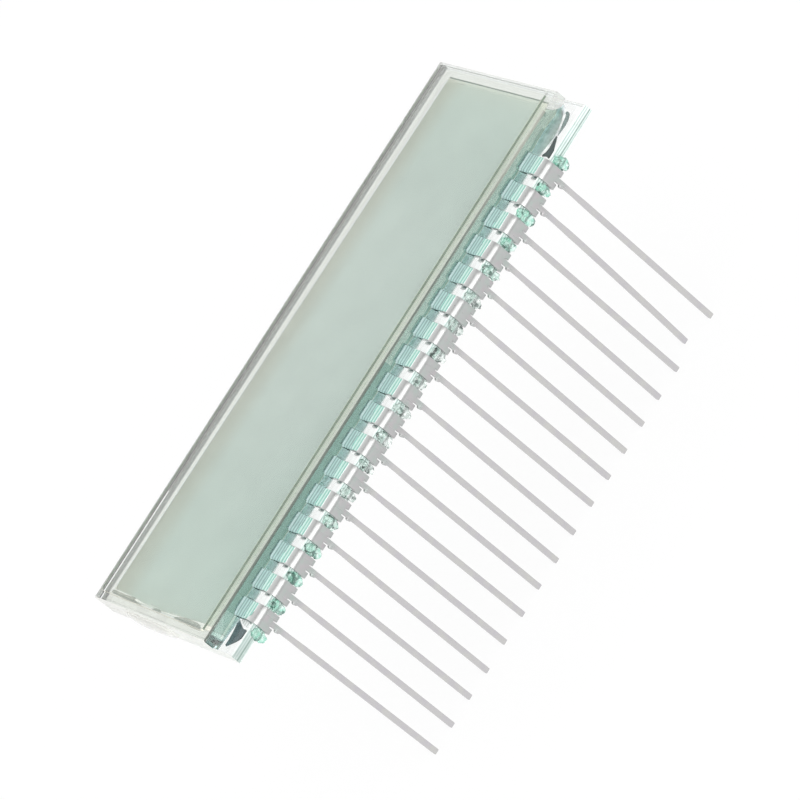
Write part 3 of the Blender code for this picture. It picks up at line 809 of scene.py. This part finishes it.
class DISPLAY_OT_cell(bpy.types.Operator):
    """Make the liquid crystal film, its seal and the marks beside the fill port"""

    bl_idname = "display.cell"
    bl_label = "Liquid crystal and seal"

    def execute(self, context):
        glass = context.scene.display_glass
        crystal = bonded_material("liquid crystal", glass.crystal_colour)
        low = (LEFT + 0.95 * MM, FRONT_SIDE + 1.74 * MM)
        high = (RIGHT - 0.96 * MM, FAR_SIDE - 1.31 * MM)
        mean_far = 17.725 * MM
        middle_y = (low[1] + high[1]) / 2
        outline = []
        for x, y in rounded_outline(low, high, 0.4 * MM, 8):
            outline.append((x, y + film_far(x) - mean_far if y > middle_y else y))
        bm = sheet(outline, CELL_LOW.z, CELL_HIGH.z)
        finished("liquid_crystal_film", bm, [crystal], ["liquid_crystal"])

        mark = bonded_material("border mark", (0.79, 0.80, 0.785), None, 0.5, (0.71, 0.725, 0.71))
        marks = [
            (
                (1.24, 14.72), (1.21, 13.74), (1.19, 12.55), (1.27, 11.54), (1.17, 11.37), (1.04, 11.5),
                (0.95, 10.27), (0.86, 10.26), (0.80, 10.69), (0.83, 12.18), (0.88, 13.4), (0.92, 14.69),
            ),
            ((0.87, 8.82), (1.08, 8.53), (1.09, 7.96), (0.98, 7.5), (0.86, 7.52), (0.88, 8.18)),
            ((0.90, 6.0), (1.28, 4.55), (1.26, 2.11), (0.76, 1.81), (0.76, 2.82), (0.83, 4.51)),
        ]
        for number, points in enumerate(marks, 1):
            outline = rounded_polygon(from_corner(points))
            bm = sheet(outline, CELL_HIGH.z + 0.004 * MM, CELL_HIGH.z + 0.012 * MM)
            finished(f"border_mark_{number}", bm, [mark], ["liquid_crystal"])

        # The seal's edge, drawn out to the plates' far side in a darker copy of the far-edge grey: painted
        # shade in the gap between the plates.
        closed = ground_material("seal edge", shade(glass.far_colour, 0.6), 0.1)
        low = (-14 * MM, FAR_SIDE - 0.34 * MM)
        outline = rounded_outline(low, (RIGHT - 0.1 * MM, FAR_SIDE - 0.085 * MM), 0.1 * MM, 4)
        bm = sheet(outline, REAR_HIGH.z + 0.005 * MM, FRONT_LOW.z - 0.005 * MM)
        finished("seal_edge", bm, [closed], ["liquid_crystal"])
        seal = seal_material(glass.seal_colour)
        for name in ("perimeter_seal", "seal_island"):
            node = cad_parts[name]
            node.data.materials.clear()
            node.data.materials.append(seal)
        return {"FINISHED"}


class DISPLAY_OT_films(bpy.types.Operator):
    """Make the polarisers and the reflector foil"""

    bl_idname = "display.films"
    bl_label = "Films"

    def execute(self, context):
        films = context.scene.display_films
        TOP, UNDER, EDGE, END, CORNER = range(5)
        materials = [
            clear_material("front polariser", films.front_colour, 1.5, (0.0, 0.04), 0.0, 1.49),
            bonded_material("bonded film", (0.998, 1.0, 0.998)),
            film_edge_material("film edge", films.edge_colour),
            # Painted sheen on the near end; painted shade on the edges past the rear film's end.
            film_edge_material("film end", films.end_colour),
            film_edge_material("film corner", (0.46, 0.48, 0.46)),
        ]
        low = (FRONT_FILM_LOW.x, FRONT_FILM_LOW.y - 0.195 * MM)
        outline = rounded_outline(low, FRONT_FILM_HIGH, films.corner, 6)
        bm = sheet(outline, FRONT_FILM_LOW.z, FRONT_FILM_HIGH.z, TOP, UNDER, EDGE)
        split_across(bm, FILM_END)
        for face in bm.faces:
            x = face.calc_center_median().x
            if face.material_index == EDGE and x < low[0] + 0.1 * MM:
                face.material_index = END
            elif face.material_index == EDGE and x > FILM_END:
                face.material_index = CORNER
        finished("front_film", bm, materials, ["front_polariser"])

        near = (
            (1.46, 15.1), (1.43, 13.4), (1.34, 12.2), (1.21, 10.2), (1.19, 8.7), (1.22, 8.2), (1.38, 5.5),
            (1.54, 3.0), (1.54, 1.5),
        )
        outline = from_corner(near)
        outline[0] = (outline[0][0], film_far(outline[0][0]))
        outline[-1] = (outline[-1][0], FILM_SIDE)
        cream = bonded_material("film margin", (0.965, 0.945, 0.90))
        strip = [(x - 0.002 * MM, y) for x, y in outline]
        strip += [(MARGIN_END, outline[-1][1]), (MARGIN_END, outline[0][1])]
        bm = sheet(strip, REAR_FILM_LOW.z, REAR_FILM_HIGH.z)
        finished("film_margin", bm, [cream], ["rear_polariser"])

        rear = rear_film_material(films.rear_colour)
        # Painted shade: the rear film's cut edge is dark.
        rear_edge = film_edge_material("rear film edge", (0.34, 0.42, 0.40))
        outline += [(FILM_END, FILM_SIDE), (FILM_END, film_far(FILM_END))]
        PLAIN, PAINTED_RIM, CUT = range(3)
        bm = sheet(outline, REAR_FILM_LOW.z, REAR_FILM_HIGH.z, PLAIN, PLAIN, CUT)
        # Painted shade: a dark line along the rear film at its far end, in the film edge colour.
        rim_at = FILM_END - 0.12 * MM
        split_across(bm, rim_at)
        for face in bm.faces:
            if face.calc_center_median().x > rim_at:
                face.material_index = PAINTED_RIM
        finished("rear_film", bm, [rear, materials[EDGE], rear_edge], ["rear_polariser"])

        foil = foil_material(films.foil_colour)
        inset = 0.15 * MM
        outline = [(x + inset, y) for x, y in outline[:-2]] + outline[-2:]
        for corner in (-3, -2):
            outline[corner] = (outline[corner][0], FILM_SIDE + inset)
        bm = sheet(outline, FOIL_LOW.z, FOIL_HIGH.z)
        finished("foil", bm, [foil], ["reflector_film"])
        return {"FINISHED"}


def bend_path(points, bends):
    """The path through the points, with a bend of a given radius and steps at each corner."""
    path = [Vector(points[0])]
    for before, corner, after, (radius, steps) in zip(points, points[1:], points[2:], bends):
        corner = Vector(corner)
        to_before = Vector(before) - corner
        to_after = Vector(after) - corner
        half = to_before.angle(to_after) / 2
        longest = 0.48 * min(to_before.length, to_after.length)
        back = min(radius / math.tan(half), longest)
        fitted = back * math.tan(half)
        middle = (to_before.normalized() + to_after.normalized()).normalized()
        centre = corner + middle * (fitted / math.sin(half))
        start = corner + to_before.normalized() * back - centre
        end = corner + to_after.normalized() * back - centre
        turn = start.angle_signed(end)
        for step in range(steps + 1):
            angle = -turn * step / steps
            cos, sin = math.cos(angle), math.sin(angle)
            path.append(centre + Vector((start.x * cos - start.y * sin, start.x * sin + start.y * cos)))
    path.append(Vector(points[-1]))
    return path


def pin_source(name, settings, lean):
    """One pin as a solid strip, its leg on X = 0."""
    foot = PIN_HIGH.z - 2.477 * MM
    sheet_t = settings.sheet
    contact = (FRONT_SIDE - 1.13 * MM, LEDGE + 0.02 * MM + sheet_t / 2)
    tip = (FRONT_SIDE - 0.24 * MM, contact[1] + 0.17 * MM)
    fold = (0.0, contact[1] + 0.10 * MM)
    rear_fold = (0.0, foot + sheet_t / 2)
    rear_contact = (contact[0], REAR_LOW.z - 0.02 * MM - sheet_t / 2)
    rear_tip = (rear_contact[0] + 0.55 * MM, rear_contact[1] - 0.22 * MM)
    crease = (0.17 * MM, 6)
    bends = [crease, (settings.front_fold, 10), (settings.rear_fold, 8), crease]
    path = bend_path([tip, contact, fold, rear_fold, rear_contact, rear_tip], bends)
    on_wall = 1 + sum(steps + 1 for _, steps in bends[:2])
    neck = 0.21 * MM
    slit = 0.12 * MM
    half = settings.clip_width / 2
    columns = [-half, -neck - slit, -neck, neck, neck + slit, half]
    bm = bmesh.new()
    rows = [*path[:on_wall], Vector((0.0, path[on_wall].y + slit))]
    grid = [[bm.verts.new((x, point.x, point.y)) for x in columns] for point in rows]
    for upper, lower in zip(grid, grid[1:]):
        for column in range(len(columns) - 1):
            bm.faces.new((upper[column], upper[column + 1], lower[column + 1], lower[column]))

    def strip(above, places):
        for left, right in places:
            below = (bm.verts.new(left), bm.verts.new(right))
            bm.faces.new((*above, *reversed(below)))
            above = below

    for left, right in ((0, 1), (4, 5)):
        places = [[(columns[side], point.x, point.y) for side in (left, right)] for point in path[on_wall:]]
        strip((grid[-1][left], grid[-1][right]), places)
    leg = settings.leg_width / 2
    stub = 0.16 * MM
    neck_end = foot - 1.6 * MM
    shoulder = neck_end - 1.5 * MM
    tip_z = (lean * 1.5) ** 2 / (4 * foot) + 0.004 * MM
    profile = [
        (foot + stub / 2, -neck, neck),
        (foot, -neck - stub * 0.8, neck),
        (foot - 0.12 * MM, -neck - stub, neck),
        (foot - 0.32 * MM, -neck - stub * 0.7, neck),
        (foot - 0.45 * MM, -neck, neck),
        (neck_end, -neck, neck),
        (shoulder, -leg, leg),
    ]
    steps = 10
    travel = shoulder - tip_z - 0.08 * MM
    profile += [(shoulder - travel * step / steps, -leg, leg) for step in range(1, steps + 1)]
    profile.append((tip_z, -leg + 0.03 * MM, leg - 0.03 * MM))
    places = []
    for z, left, right in profile:
        shift = lean * (max(shoulder - z, 0.0) / (shoulder - tip_z)) ** 1.5
        places.append(((left, shift, z), (right, shift, z)))
    strip((grid[-1][2], grid[-1][3]), places)
    obj = linked(name, closed_mesh(name, bm))
    thickness = obj.modifiers.new("sheet thickness", "SOLIDIFY")
    thickness.thickness = sheet_t
    thickness.offset = 0.0
    thickness.use_even_offset = True
    edges = obj.modifiers.new("stamped edges", "BEVEL")
    edges.width = 0.03 * MM
    edges.segments = 2
    edges.limit_method = "ANGLE"
    edges.angle_limit = math.radians(50)
    plain = as_mesh(obj, name + " strip")
    bpy.data.objects.remove(obj)
    smoothed(plain, 60)
    return bpy.data.objects.new(name + " source", plain)


class Row(Nodes):
    """A Geometry Nodes tree with named inputs, whose result is one plain mesh."""

    def __init__(self, name, **inputs):
        super().__init__(bpy.data.node_groups.new(name, "GeometryNodeTree"))
        ports = self.tree.interface
        ports.new_socket("Geometry", in_out="OUTPUT", socket_type="NodeSocketGeometry")
        self.values = {}
        for name, value in inputs.items():
            kind = "NodeSocket" + type(value).__name__.capitalize()
            port = ports.new_socket(name.replace("_", " "), in_out="INPUT", socket_type=kind)
            self.values[port.identifier] = value
        self.given = self.node("NodeGroupInput").outputs

    def line(self, y=0.0, z=0.0):
        """Points along X, a pitch apart, with their middle on X = 0."""
        gaps = self.math("SUBTRACT", self.given["Count"], 1.0)
        start = self.math("MULTIPLY", self.math("MULTIPLY", gaps, self.given["Pitch"]), -0.5)
        return self.node(
            "GeometryNodeMeshLine",
            {
                "Count": self.given["Count"],
                "Start Location": self.vector(start, y, z),
                "Offset": self.vector(self.given["Pitch"], 0.0, 0.0),
            },
        )

    def random_vector(self, low, high):
        between = {"Min": low, "Max": high, "Seed": self.given["Seed"]}
        return self.node("FunctionNodeRandomValue", between, data_type="FLOAT_VECTOR").outputs[0]

    def build(self, name, geometry):
        """The tree's end, Realize Instances and Set Material, and its result as an object."""
        real = self.node("GeometryNodeRealizeInstances", {"Geometry": geometry})
        coat = {"Geometry": real, "Material": self.given["Material"]}
        self.node("NodeGroupOutput", {0: self.node("GeometryNodeSetMaterial", coat)})
        host = linked(name, bpy.data.meshes.new(name))
        modifier = host.modifiers.new(self.tree.name, "NODES")
        modifier.node_group = self.tree
        for key, value in self.values.items():
            modifier[key] = value
        mesh = as_mesh(host, name)
        host.modifiers.remove(modifier)
        host.data = mesh
        return host


class DISPLAY_OT_pins(bpy.types.Operator):
    """Make the row of contact pins"""

    bl_idname = "display.pins"
    bl_label = "Contact pins"

    def execute(self, context):
        pins = context.scene.display_pins
        sources = [pin_source("contact pin", pins, 0.0), pin_source("bent pin", pins, pins.lean)]
        row = Row(
            "Contact pin row",
            Pin=sources[0],
            Bent_pin=sources[1],
            Count=len(PINS),
            Pitch=pins.pitch,
            Bent_number=pins.bent,
            Wobble=pins.wobble,
            Seed=pins.seed,
            Material=tin_material(pins.colour),
        )
        line = row.line()
        number = row.math("ADD", row.node("GeometryNodeInputIndex"), 1.0)
        is_bent = row.node(
            "FunctionNodeCompare",
            {0: number, 1: row.given["Bent number"], "Epsilon": 0.1},
            data_type="FLOAT",
            operation="EQUAL",
        )
        is_straight = row.node("FunctionNodeBooleanMath", {0: is_bent}, operation="NOT")
        wobble = row.given["Wobble"]
        lowest = row.vector(0.0, row.math("MULTIPLY", wobble, -1.0), 0.0)
        tilt = row.random_vector(lowest, row.vector(wobble, wobble, 0.0))
        joined = row.node("GeometryNodeJoinGeometry")
        for label, chosen in (("Pin", is_straight), ("Bent pin", is_bent)):
            info = row.node("GeometryNodeObjectInfo", {"Object": row.given[label]})
            pick = {"Points": line, "Selection": chosen, "Instance": info.outputs["Geometry"]}
            placed = row.node("GeometryNodeInstanceOnPoints", pick)
            row.tree.links.new(placed.outputs[0], joined.inputs[0])
        pivot = (0.0, 0.0, PIN_HIGH.z - 1.2 * MM)
        turn = {"Instances": joined, "Rotation": tilt, "Pivot Point": pivot}
        made = row.build("pin_row", row.node("GeometryNodeRotateInstances", turn))
        for source in sources:
            bpy.data.objects.remove(source)
        dress(made, PINS)
        return {"FINISHED"}


class DISPLAY_OT_ledge_resin(bpy.types.Operator):
    """Make the bead of resin along the front plate"""

    bl_idname = "display.ledge_resin"
    bl_label = "Ledge resin"

    def execute(self, context):
        resin = context.scene.display_resin
        pins = context.scene.display_pins
        light = (0.8, 0.93, 0.9)
        CLEAR, ON_PLATE, ON_LEDGE, THIN, PAINTED_RIM, BY_PLATE, AT_GAP = range(7)
        materials = [
            clear_material("ledge resin", resin.colour, 0.8, (0.0, 0.03), 0.006, RESIN_IOR, light),
            bonded_material("resin on plate", (0.995, 1.0, 0.998)),
            bonded_material("resin on ledge", resin.foot_colour, (0.80, 0.76, 0.79)),
            # Painted glow: the thin resin over the clips.
            thin_resin_material("thin resin", resin.glow_colour),
            thin_resin_material("resin rim", (0.95, 1.0, 0.98)),
            bonded_material("resin by the plate", (0.61, 0.75, 0.715), (0.61, 0.68, 0.66)),
            bonded_material("resin at the gap", (0.78, 0.89, 0.91)),
        ]
        steps = 18
        back = FRONT_SIDE
        foot = LEDGE
        full = FRONT_HIGH.z - 0.09 * MM - foot
        low = LEFT + 0.08 * MM
        high = RIGHT - resin.stop
        count = 640
        bm = bmesh.new()
        loops = []
        for station in range(count + 1):
            x = low + (high - low) * station / count
            over = over_clip(x, pins, 0.03 * MM)
            toe = plain_toe(x, resin, pins) + (resin.tongue - resin.toe) * over
            lip = toe + (resin.lip - resin.tongue) * over
            to_stop = (high - x) / (1.2 * MM)
            height = full * min(1.0, 0.05 + to_stop**2 if to_stop < 1 else 1.0)
            brim = min(0.05 * MM + 0.30 * MM * over_clip(x, pins, 0.10 * MM), height)
            # Y from the plate outwards and Z from the ledge: round the foot, then down the hollow face
            section = [(min(0.42 * MM, toe * 0.5), 0.0), (0.0, 0.0), (0.0, min(0.12 * MM, height / 2))]
            for step in range(steps + 1):
                share = step / steps
                section.append((toe * share, brim + (height - brim) * (1 - share) ** 1.35))
            section += [
                (toe / 2 + lip / 2 + 0.02 * MM, 0.98 * brim),
                (lip + 0.03 * MM, 0.93 * brim),
                (lip + 0.05 * MM, 0.6 * brim),
                (lip + 0.06 * MM, 0.0),
            ]
            loops.append([bm.verts.new((x, back - out, foot + up)) for out, up in section])
        for near, far in zip(loops, loops[1:]):
            last = len(near) - 1
            for index, ((a, b), (c, d)) in enumerate(zip(around(near), around(far))):
                face = bm.faces.new((a, b, d, c))
                middle = face.calc_center_median()
                thin_part = middle.y < FRONT_SIDE - 1.40 * MM
                if index < 3:
                    face.material_index = (BY_PLATE, AT_GAP, ON_PLATE)[index]
                elif index == last:
                    face.material_index = ON_LEDGE
                elif thin_part and index < steps + 5 and over_clip(middle.x, pins, 0.03 * MM) > 0.5:
                    face.material_index = THIN
                # Painted highlight: the bead's outer rim past the first clip is near white.
                elif index > steps + 2 and middle.x > FIRST_PIN:
                    face.material_index = PAINTED_RIM
        bm.faces.new(loops[0])
        bm.faces.new(reversed(loops[-1]))
        finished("resin_bead", bm, materials, ["ledge_resin"], 50)
        return {"FINISHED"}


class DISPLAY_OT_skirt(bpy.types.Operator):
    """Make dark sheets of painted shade on the ledge at both ends, and a white patch of painted highlight
    """

    bl_idname = "display.skirt"
    bl_label = "Painted shade on the ledge"

    def execute(self, context):
        # Painted shade: the near, far and tail sheets are dark clear sheets laid where the ledge lies in
        # shade.
        shade_finish = (0.3, (0.02, 0.1), 0.004)
        dark = clear_material("dark resin", (0.05, 0.08, 0.078), *shade_finish)
        grey = clear_material("grey resin", (0.12, 0.17, 0.18), *shade_finish)
        pale = clear_material("pale resin", (0.26, 0.33, 0.32), *shade_finish)
        white = thin_resin_material("white resin", (0.95, 1.0, 0.98))
        # Painted highlight: a white patch on the ledge beside the first clip.
        highlight_points = ((2.99, 0.8), (3.0, 1.9), (2.85, 2.25), (2.5, 2.2), (2.64, 1.36))
        near = (
            (2.95, 0.64), (1.39, 0.95), (0.44, 0.90), (0.97, 1.62), (1.48, 2.2), (1.95, 2.26), (2.35, 2.26),
            (2.3, 1.79), (2.6, 1.2),
        )
        far = (
            (5.1, 1.18), (4.49, 1.62), (3.25, 1.46), (3.1, 1.56), (3.26, 1.68), (4.1, 2.09), (4.4, 2.26),
            (5.15, 2.26), (4.95, 1.9),
        )
        tail = (
            (3.2, 1.60), (2.7, 1.68), (1.9, 1.74), (1.23, 1.50), (0.95, 1.18), (0.97, 0.88), (1.13, 0.84),
            (1.28, 1.12), (1.88, 1.27), (2.7, 1.52),
        )
        shapes = {
            "resin_drop": (white, from_corner(highlight_points, LEFT, 1, -1)),
            "resin_skirt_near": (grey, from_corner(near, LEFT, 1, -1)),
            "resin_skirt_far": (dark, from_corner(far, RIGHT, -1, -1)),
            "resin_skirt_tail": (pale, from_corner(tail, RIGHT, -1, -1)),
        }
        for name, (material, points) in shapes.items():
            bm = sheet(rounded_polygon(points), LEDGE + 0.005 * MM, LEDGE + 0.06 * MM)
            finished(name, bm, [material], ["ledge_resin"])
        return {"FINISHED"}


class DISPLAY_OT_edge_resin(bpy.types.Operator):
    """Make the beads of resin on the edge of the rear plate"""

    bl_idname = "display.edge_resin"
    bl_label = "Edge resin"

    def execute(self, context):
        resin = context.scene.display_resin
        pins = context.scene.display_pins
        row = Row(
            "Edge resin beads",
            Count=len(BEADS),
            Pitch=pins.pitch,
            Width=0.50 * MM,
            Reach=0.27 * MM,
            Height=1.05 * MM,
            Middle=REAR_LOW.z + 0.06 * MM,
            Back=REAR_LOW.y - 0.01 * MM,
            Seed=resin.seed,
            Material=bead_material(resin.bead_colour),
        )
        given = row.given
        ball = row.node("GeometryNodeMeshIcoSphere", {"Radius": 1.0, "Subdivisions": 5})

        def worked(operation, inputs):
            return row.node("ShaderNodeVectorMath", inputs, operation=operation).outputs[0]

        vary = row.random_vector((0.8, 0.7, 0.7), (1.0, 1.0, 1.0))
        full = row.vector(given["Width"], given["Reach"], given["Height"])
        size = worked("MULTIPLY", {0: full, 1: vary})
        line = row.line(given["Back"], given["Middle"])
        placed = row.node("GeometryNodeInstanceOnPoints", {"Points": line, "Instance": ball, "Scale": size})
        real = row.node("GeometryNodeRealizeInstances", {"Geometry": placed})
        wave = row.node("ShaderNodeTexNoise", {"Scale": 2600.0, "Detail": 1.0}).outputs["Color"]
        lump = worked("SCALE", {0: worked("SUBTRACT", {0: wave, 1: (0.5, 0.5, 0.5)}), "Scale": 0.42 * MM})
        moved = row.node("GeometryNodeSetPosition", {"Geometry": real, "Offset": lump})
        x, y, z = row.node("ShaderNodeSeparateXYZ", {0: row.node("GeometryNodeInputPosition")}).outputs
        y = row.math("MAXIMUM", row.math("MINIMUM", y, given["Back"]), -0.17 * MM)
        flat = row.node("GeometryNodeSetPosition", {"Geometry": moved, "Position": row.vector(x, y, z)})
        beads = row.build("edge_beads", row.node("GeometryNodeSetShadeSmooth", {"Geometry": flat}))
        dress(beads, BEADS)
        return {"FINISHED"}


class DISPLAY_OT_plug(bpy.types.Operator):
    """Make the resin dome over the fill port"""

    bl_idname = "display.plug"
    bl_label = "Fill port plug"

    def execute(self, context):
        material = plug_material(context.scene.display_resin.plug_colour)
        reach = LEFT - PLUG_LOW.x
        middle = (PLUG_LOW + PLUG_HIGH) / 2
        half_y, half_z = ((PLUG_HIGH[axis] - PLUG_LOW[axis]) / 2 for axis in (1, 2))
        bm = bmesh.new()
        bmesh.ops.create_uvsphere(bm, u_segments=64, v_segments=32, radius=1.0)
        for vert in bm.verts:
            x, y, z = (math.copysign(abs(value) ** 0.8, value) for value in vert.co)
            lump = 1 + 0.08 * noise.noise(Vector((y * 2.3, z * 1.7, 1.3)))
            place_x = LEFT - 0.01 * MM + reach * min(x, 0.0) * min(lump, 1.0) * 0.96
            vert.co = (place_x, middle.y + half_y * y * 0.98, middle.z + half_z * z * 0.98)
        finished("port_plug", bm, [material], ["fill_port_plug"], 50)
        return {"FINISHED"}


def lamp(name, place, target, size, radiance):
    """A square softbox of the size and brightness given, turned to its target."""
    data = bpy.data.lights.new(name, "AREA")
    data.shape = "RECTANGLE"
    data.size, data.size_y = size
    data.energy = radiance * math.pi * size[0] * size[1]
    obj = linked(name, data)
    obj.location = place
    obj.rotation_euler = (Vector(target) - Vector(place)).to_track_quat("-Z", "Y").to_euler()
    obj.visible_camera = False


class DISPLAY_OT_stage(bpy.types.Operator):
    """Make the floor, the lamps, the world and the camera"""

    bl_idname = "display.stage"
    bl_label = "Stage"

    def execute(self, context):
        scene = context.scene
        stage = scene.display_stage
        mesh = bpy.data.meshes.new("floor")
        half = stage.floor_size / 2
        corners = [(-half, -half, 0), (half, -half, 0), (half, half, 0), (-half, half, 0)]
        mesh.from_pydata(corners, [], [(0, 1, 2, 3)])
        floor = linked("floor", mesh)
        look = Look("floor paper")
        mottle = look.between(look.grain(40), shade(stage.floor_colour, 0.99), stage.floor_colour)
        paper = look.node("ShaderNodeBsdfDiffuse", {"Color": mottle})
        glow = look.node("ShaderNodeEmission", {"Strength": 1.0})
        rays = look.node("ShaderNodeLightPath").outputs
        seen = look.math("MAXIMUM", rays["Is Camera Ray"], rays["Is Glossy Ray"])
        seen = look.math("MAXIMUM", seen, rays["Is Transmission Ray"])
        mesh.materials.append(look.done(look.blend(look.math("MULTIPLY", seen, 0.88), paper, glow)))

        world = bpy.data.worlds.new("studio")
        world.use_nodes = True
        world.node_tree.nodes.clear()
        sky = Nodes(world.node_tree)
        place = sky.node("ShaderNodeTexCoord").outputs["Generated"]
        height = sky.node("ShaderNodeSeparateXYZ", {0: place}).outputs["Z"]
        ramp = sky.node("ShaderNodeValToRGB", {"Fac": height})
        levels = ((0.70, 1.0), (0.73, 0.4), (0.78, 0.4), (0.81, 1.0))
        while len(ramp.color_ramp.elements) < len(levels):
            ramp.color_ramp.elements.new(0.5)
        for element, (position, level) in zip(ramp.color_ramp.elements, levels):
            element.position = position
            element.color = (level, level, level, 1)
        dome = sky.node("ShaderNodeBackground", {"Color": ramp, "Strength": 1.0})
        white = sky.node("ShaderNodeBackground", {"Color": WHITE})
        seen = sky.node("ShaderNodeLightPath").outputs["Is Camera Ray"]
        sky.node("ShaderNodeOutputWorld", {"Surface": sky.blend(seen, dome, white)})
        scene.world = world

        middle = (0, 0.009, 0.02)
        lamp("front softbox", (-0.15, -0.8, 0.33), middle, (1.1, 0.62), 2.0)
        lamp("low panel", (-0.03, -0.15, 0.001), (-0.03, -0.05, 0.05), (0.3, 0.12), 1.8)
        lamp("back softbox", (0.05, 0.75, 0.75), middle, (0.8, 0.2), 1.5)

        data = bpy.data.cameras.new("camera")
        data.sensor_width = 36
        data.lens = stage.lens
        data.clip_start = 0.01
        camera = linked("camera", data)
        camera.location = stage.camera_place
        camera.rotation_euler = Euler(stage.camera_turn, "XYZ")
        scene.camera = camera
        scene.view_settings.view_transform = "Standard"
        scene.cycles.transparent_max_bounces = 24
        scene.cycles.max_bounces = 16
        return {"FINISHED"}


class DISPLAY_PT_panel(bpy.types.Panel):
    """Buttons for the pieces of the display"""

    bl_idname = "DISPLAY_PT_panel"
    bl_label = "Segment display"
    bl_space_type = "VIEW_3D"
    bl_region_type = "UI"
    bl_category = "Display"

    def draw(self, context):
        for step in STEPS:
            self.layout.operator(step.bl_idname)


STEPS = [
    DISPLAY_OT_stage,
    DISPLAY_OT_glass,
    DISPLAY_OT_cell,
    DISPLAY_OT_films,
    DISPLAY_OT_pins,
    DISPLAY_OT_ledge_resin,
    DISPLAY_OT_skirt,
    DISPLAY_OT_edge_resin,
    DISPLAY_OT_plug,
]
SETTINGS = {
    "display_glass": DisplayGlassSettings,
    "display_films": DisplayFilmSettings,
    "display_pins": DisplayPinSettings,
    "display_resin": DisplayResinSettings,
    "display_stage": DisplayStageSettings,
}


def register():
    for name, group in SETTINGS.items():
        bpy.utils.register_class(group)
        setattr(bpy.types.Scene, name, PointerProperty(type=group))
    for step in STEPS:
        bpy.utils.register_class(step)
    bpy.utils.register_class(DISPLAY_PT_panel)


def unregister():
    bpy.utils.unregister_class(DISPLAY_PT_panel)
    for step in reversed(STEPS):
        bpy.utils.unregister_class(step)
    for name, group in reversed(SETTINGS.items()):
        delattr(bpy.types.Scene, name)
        bpy.utils.unregister_class(group)


def main():
    register()
    for step in STEPS:
        group, name = step.bl_idname.split(".")
        result = getattr(getattr(bpy.ops, group), name)()
        if result != {"FINISHED"}:
            raise RuntimeError(f"{step.bl_label} did not finish")


if __name__ == "__main__":
    main()
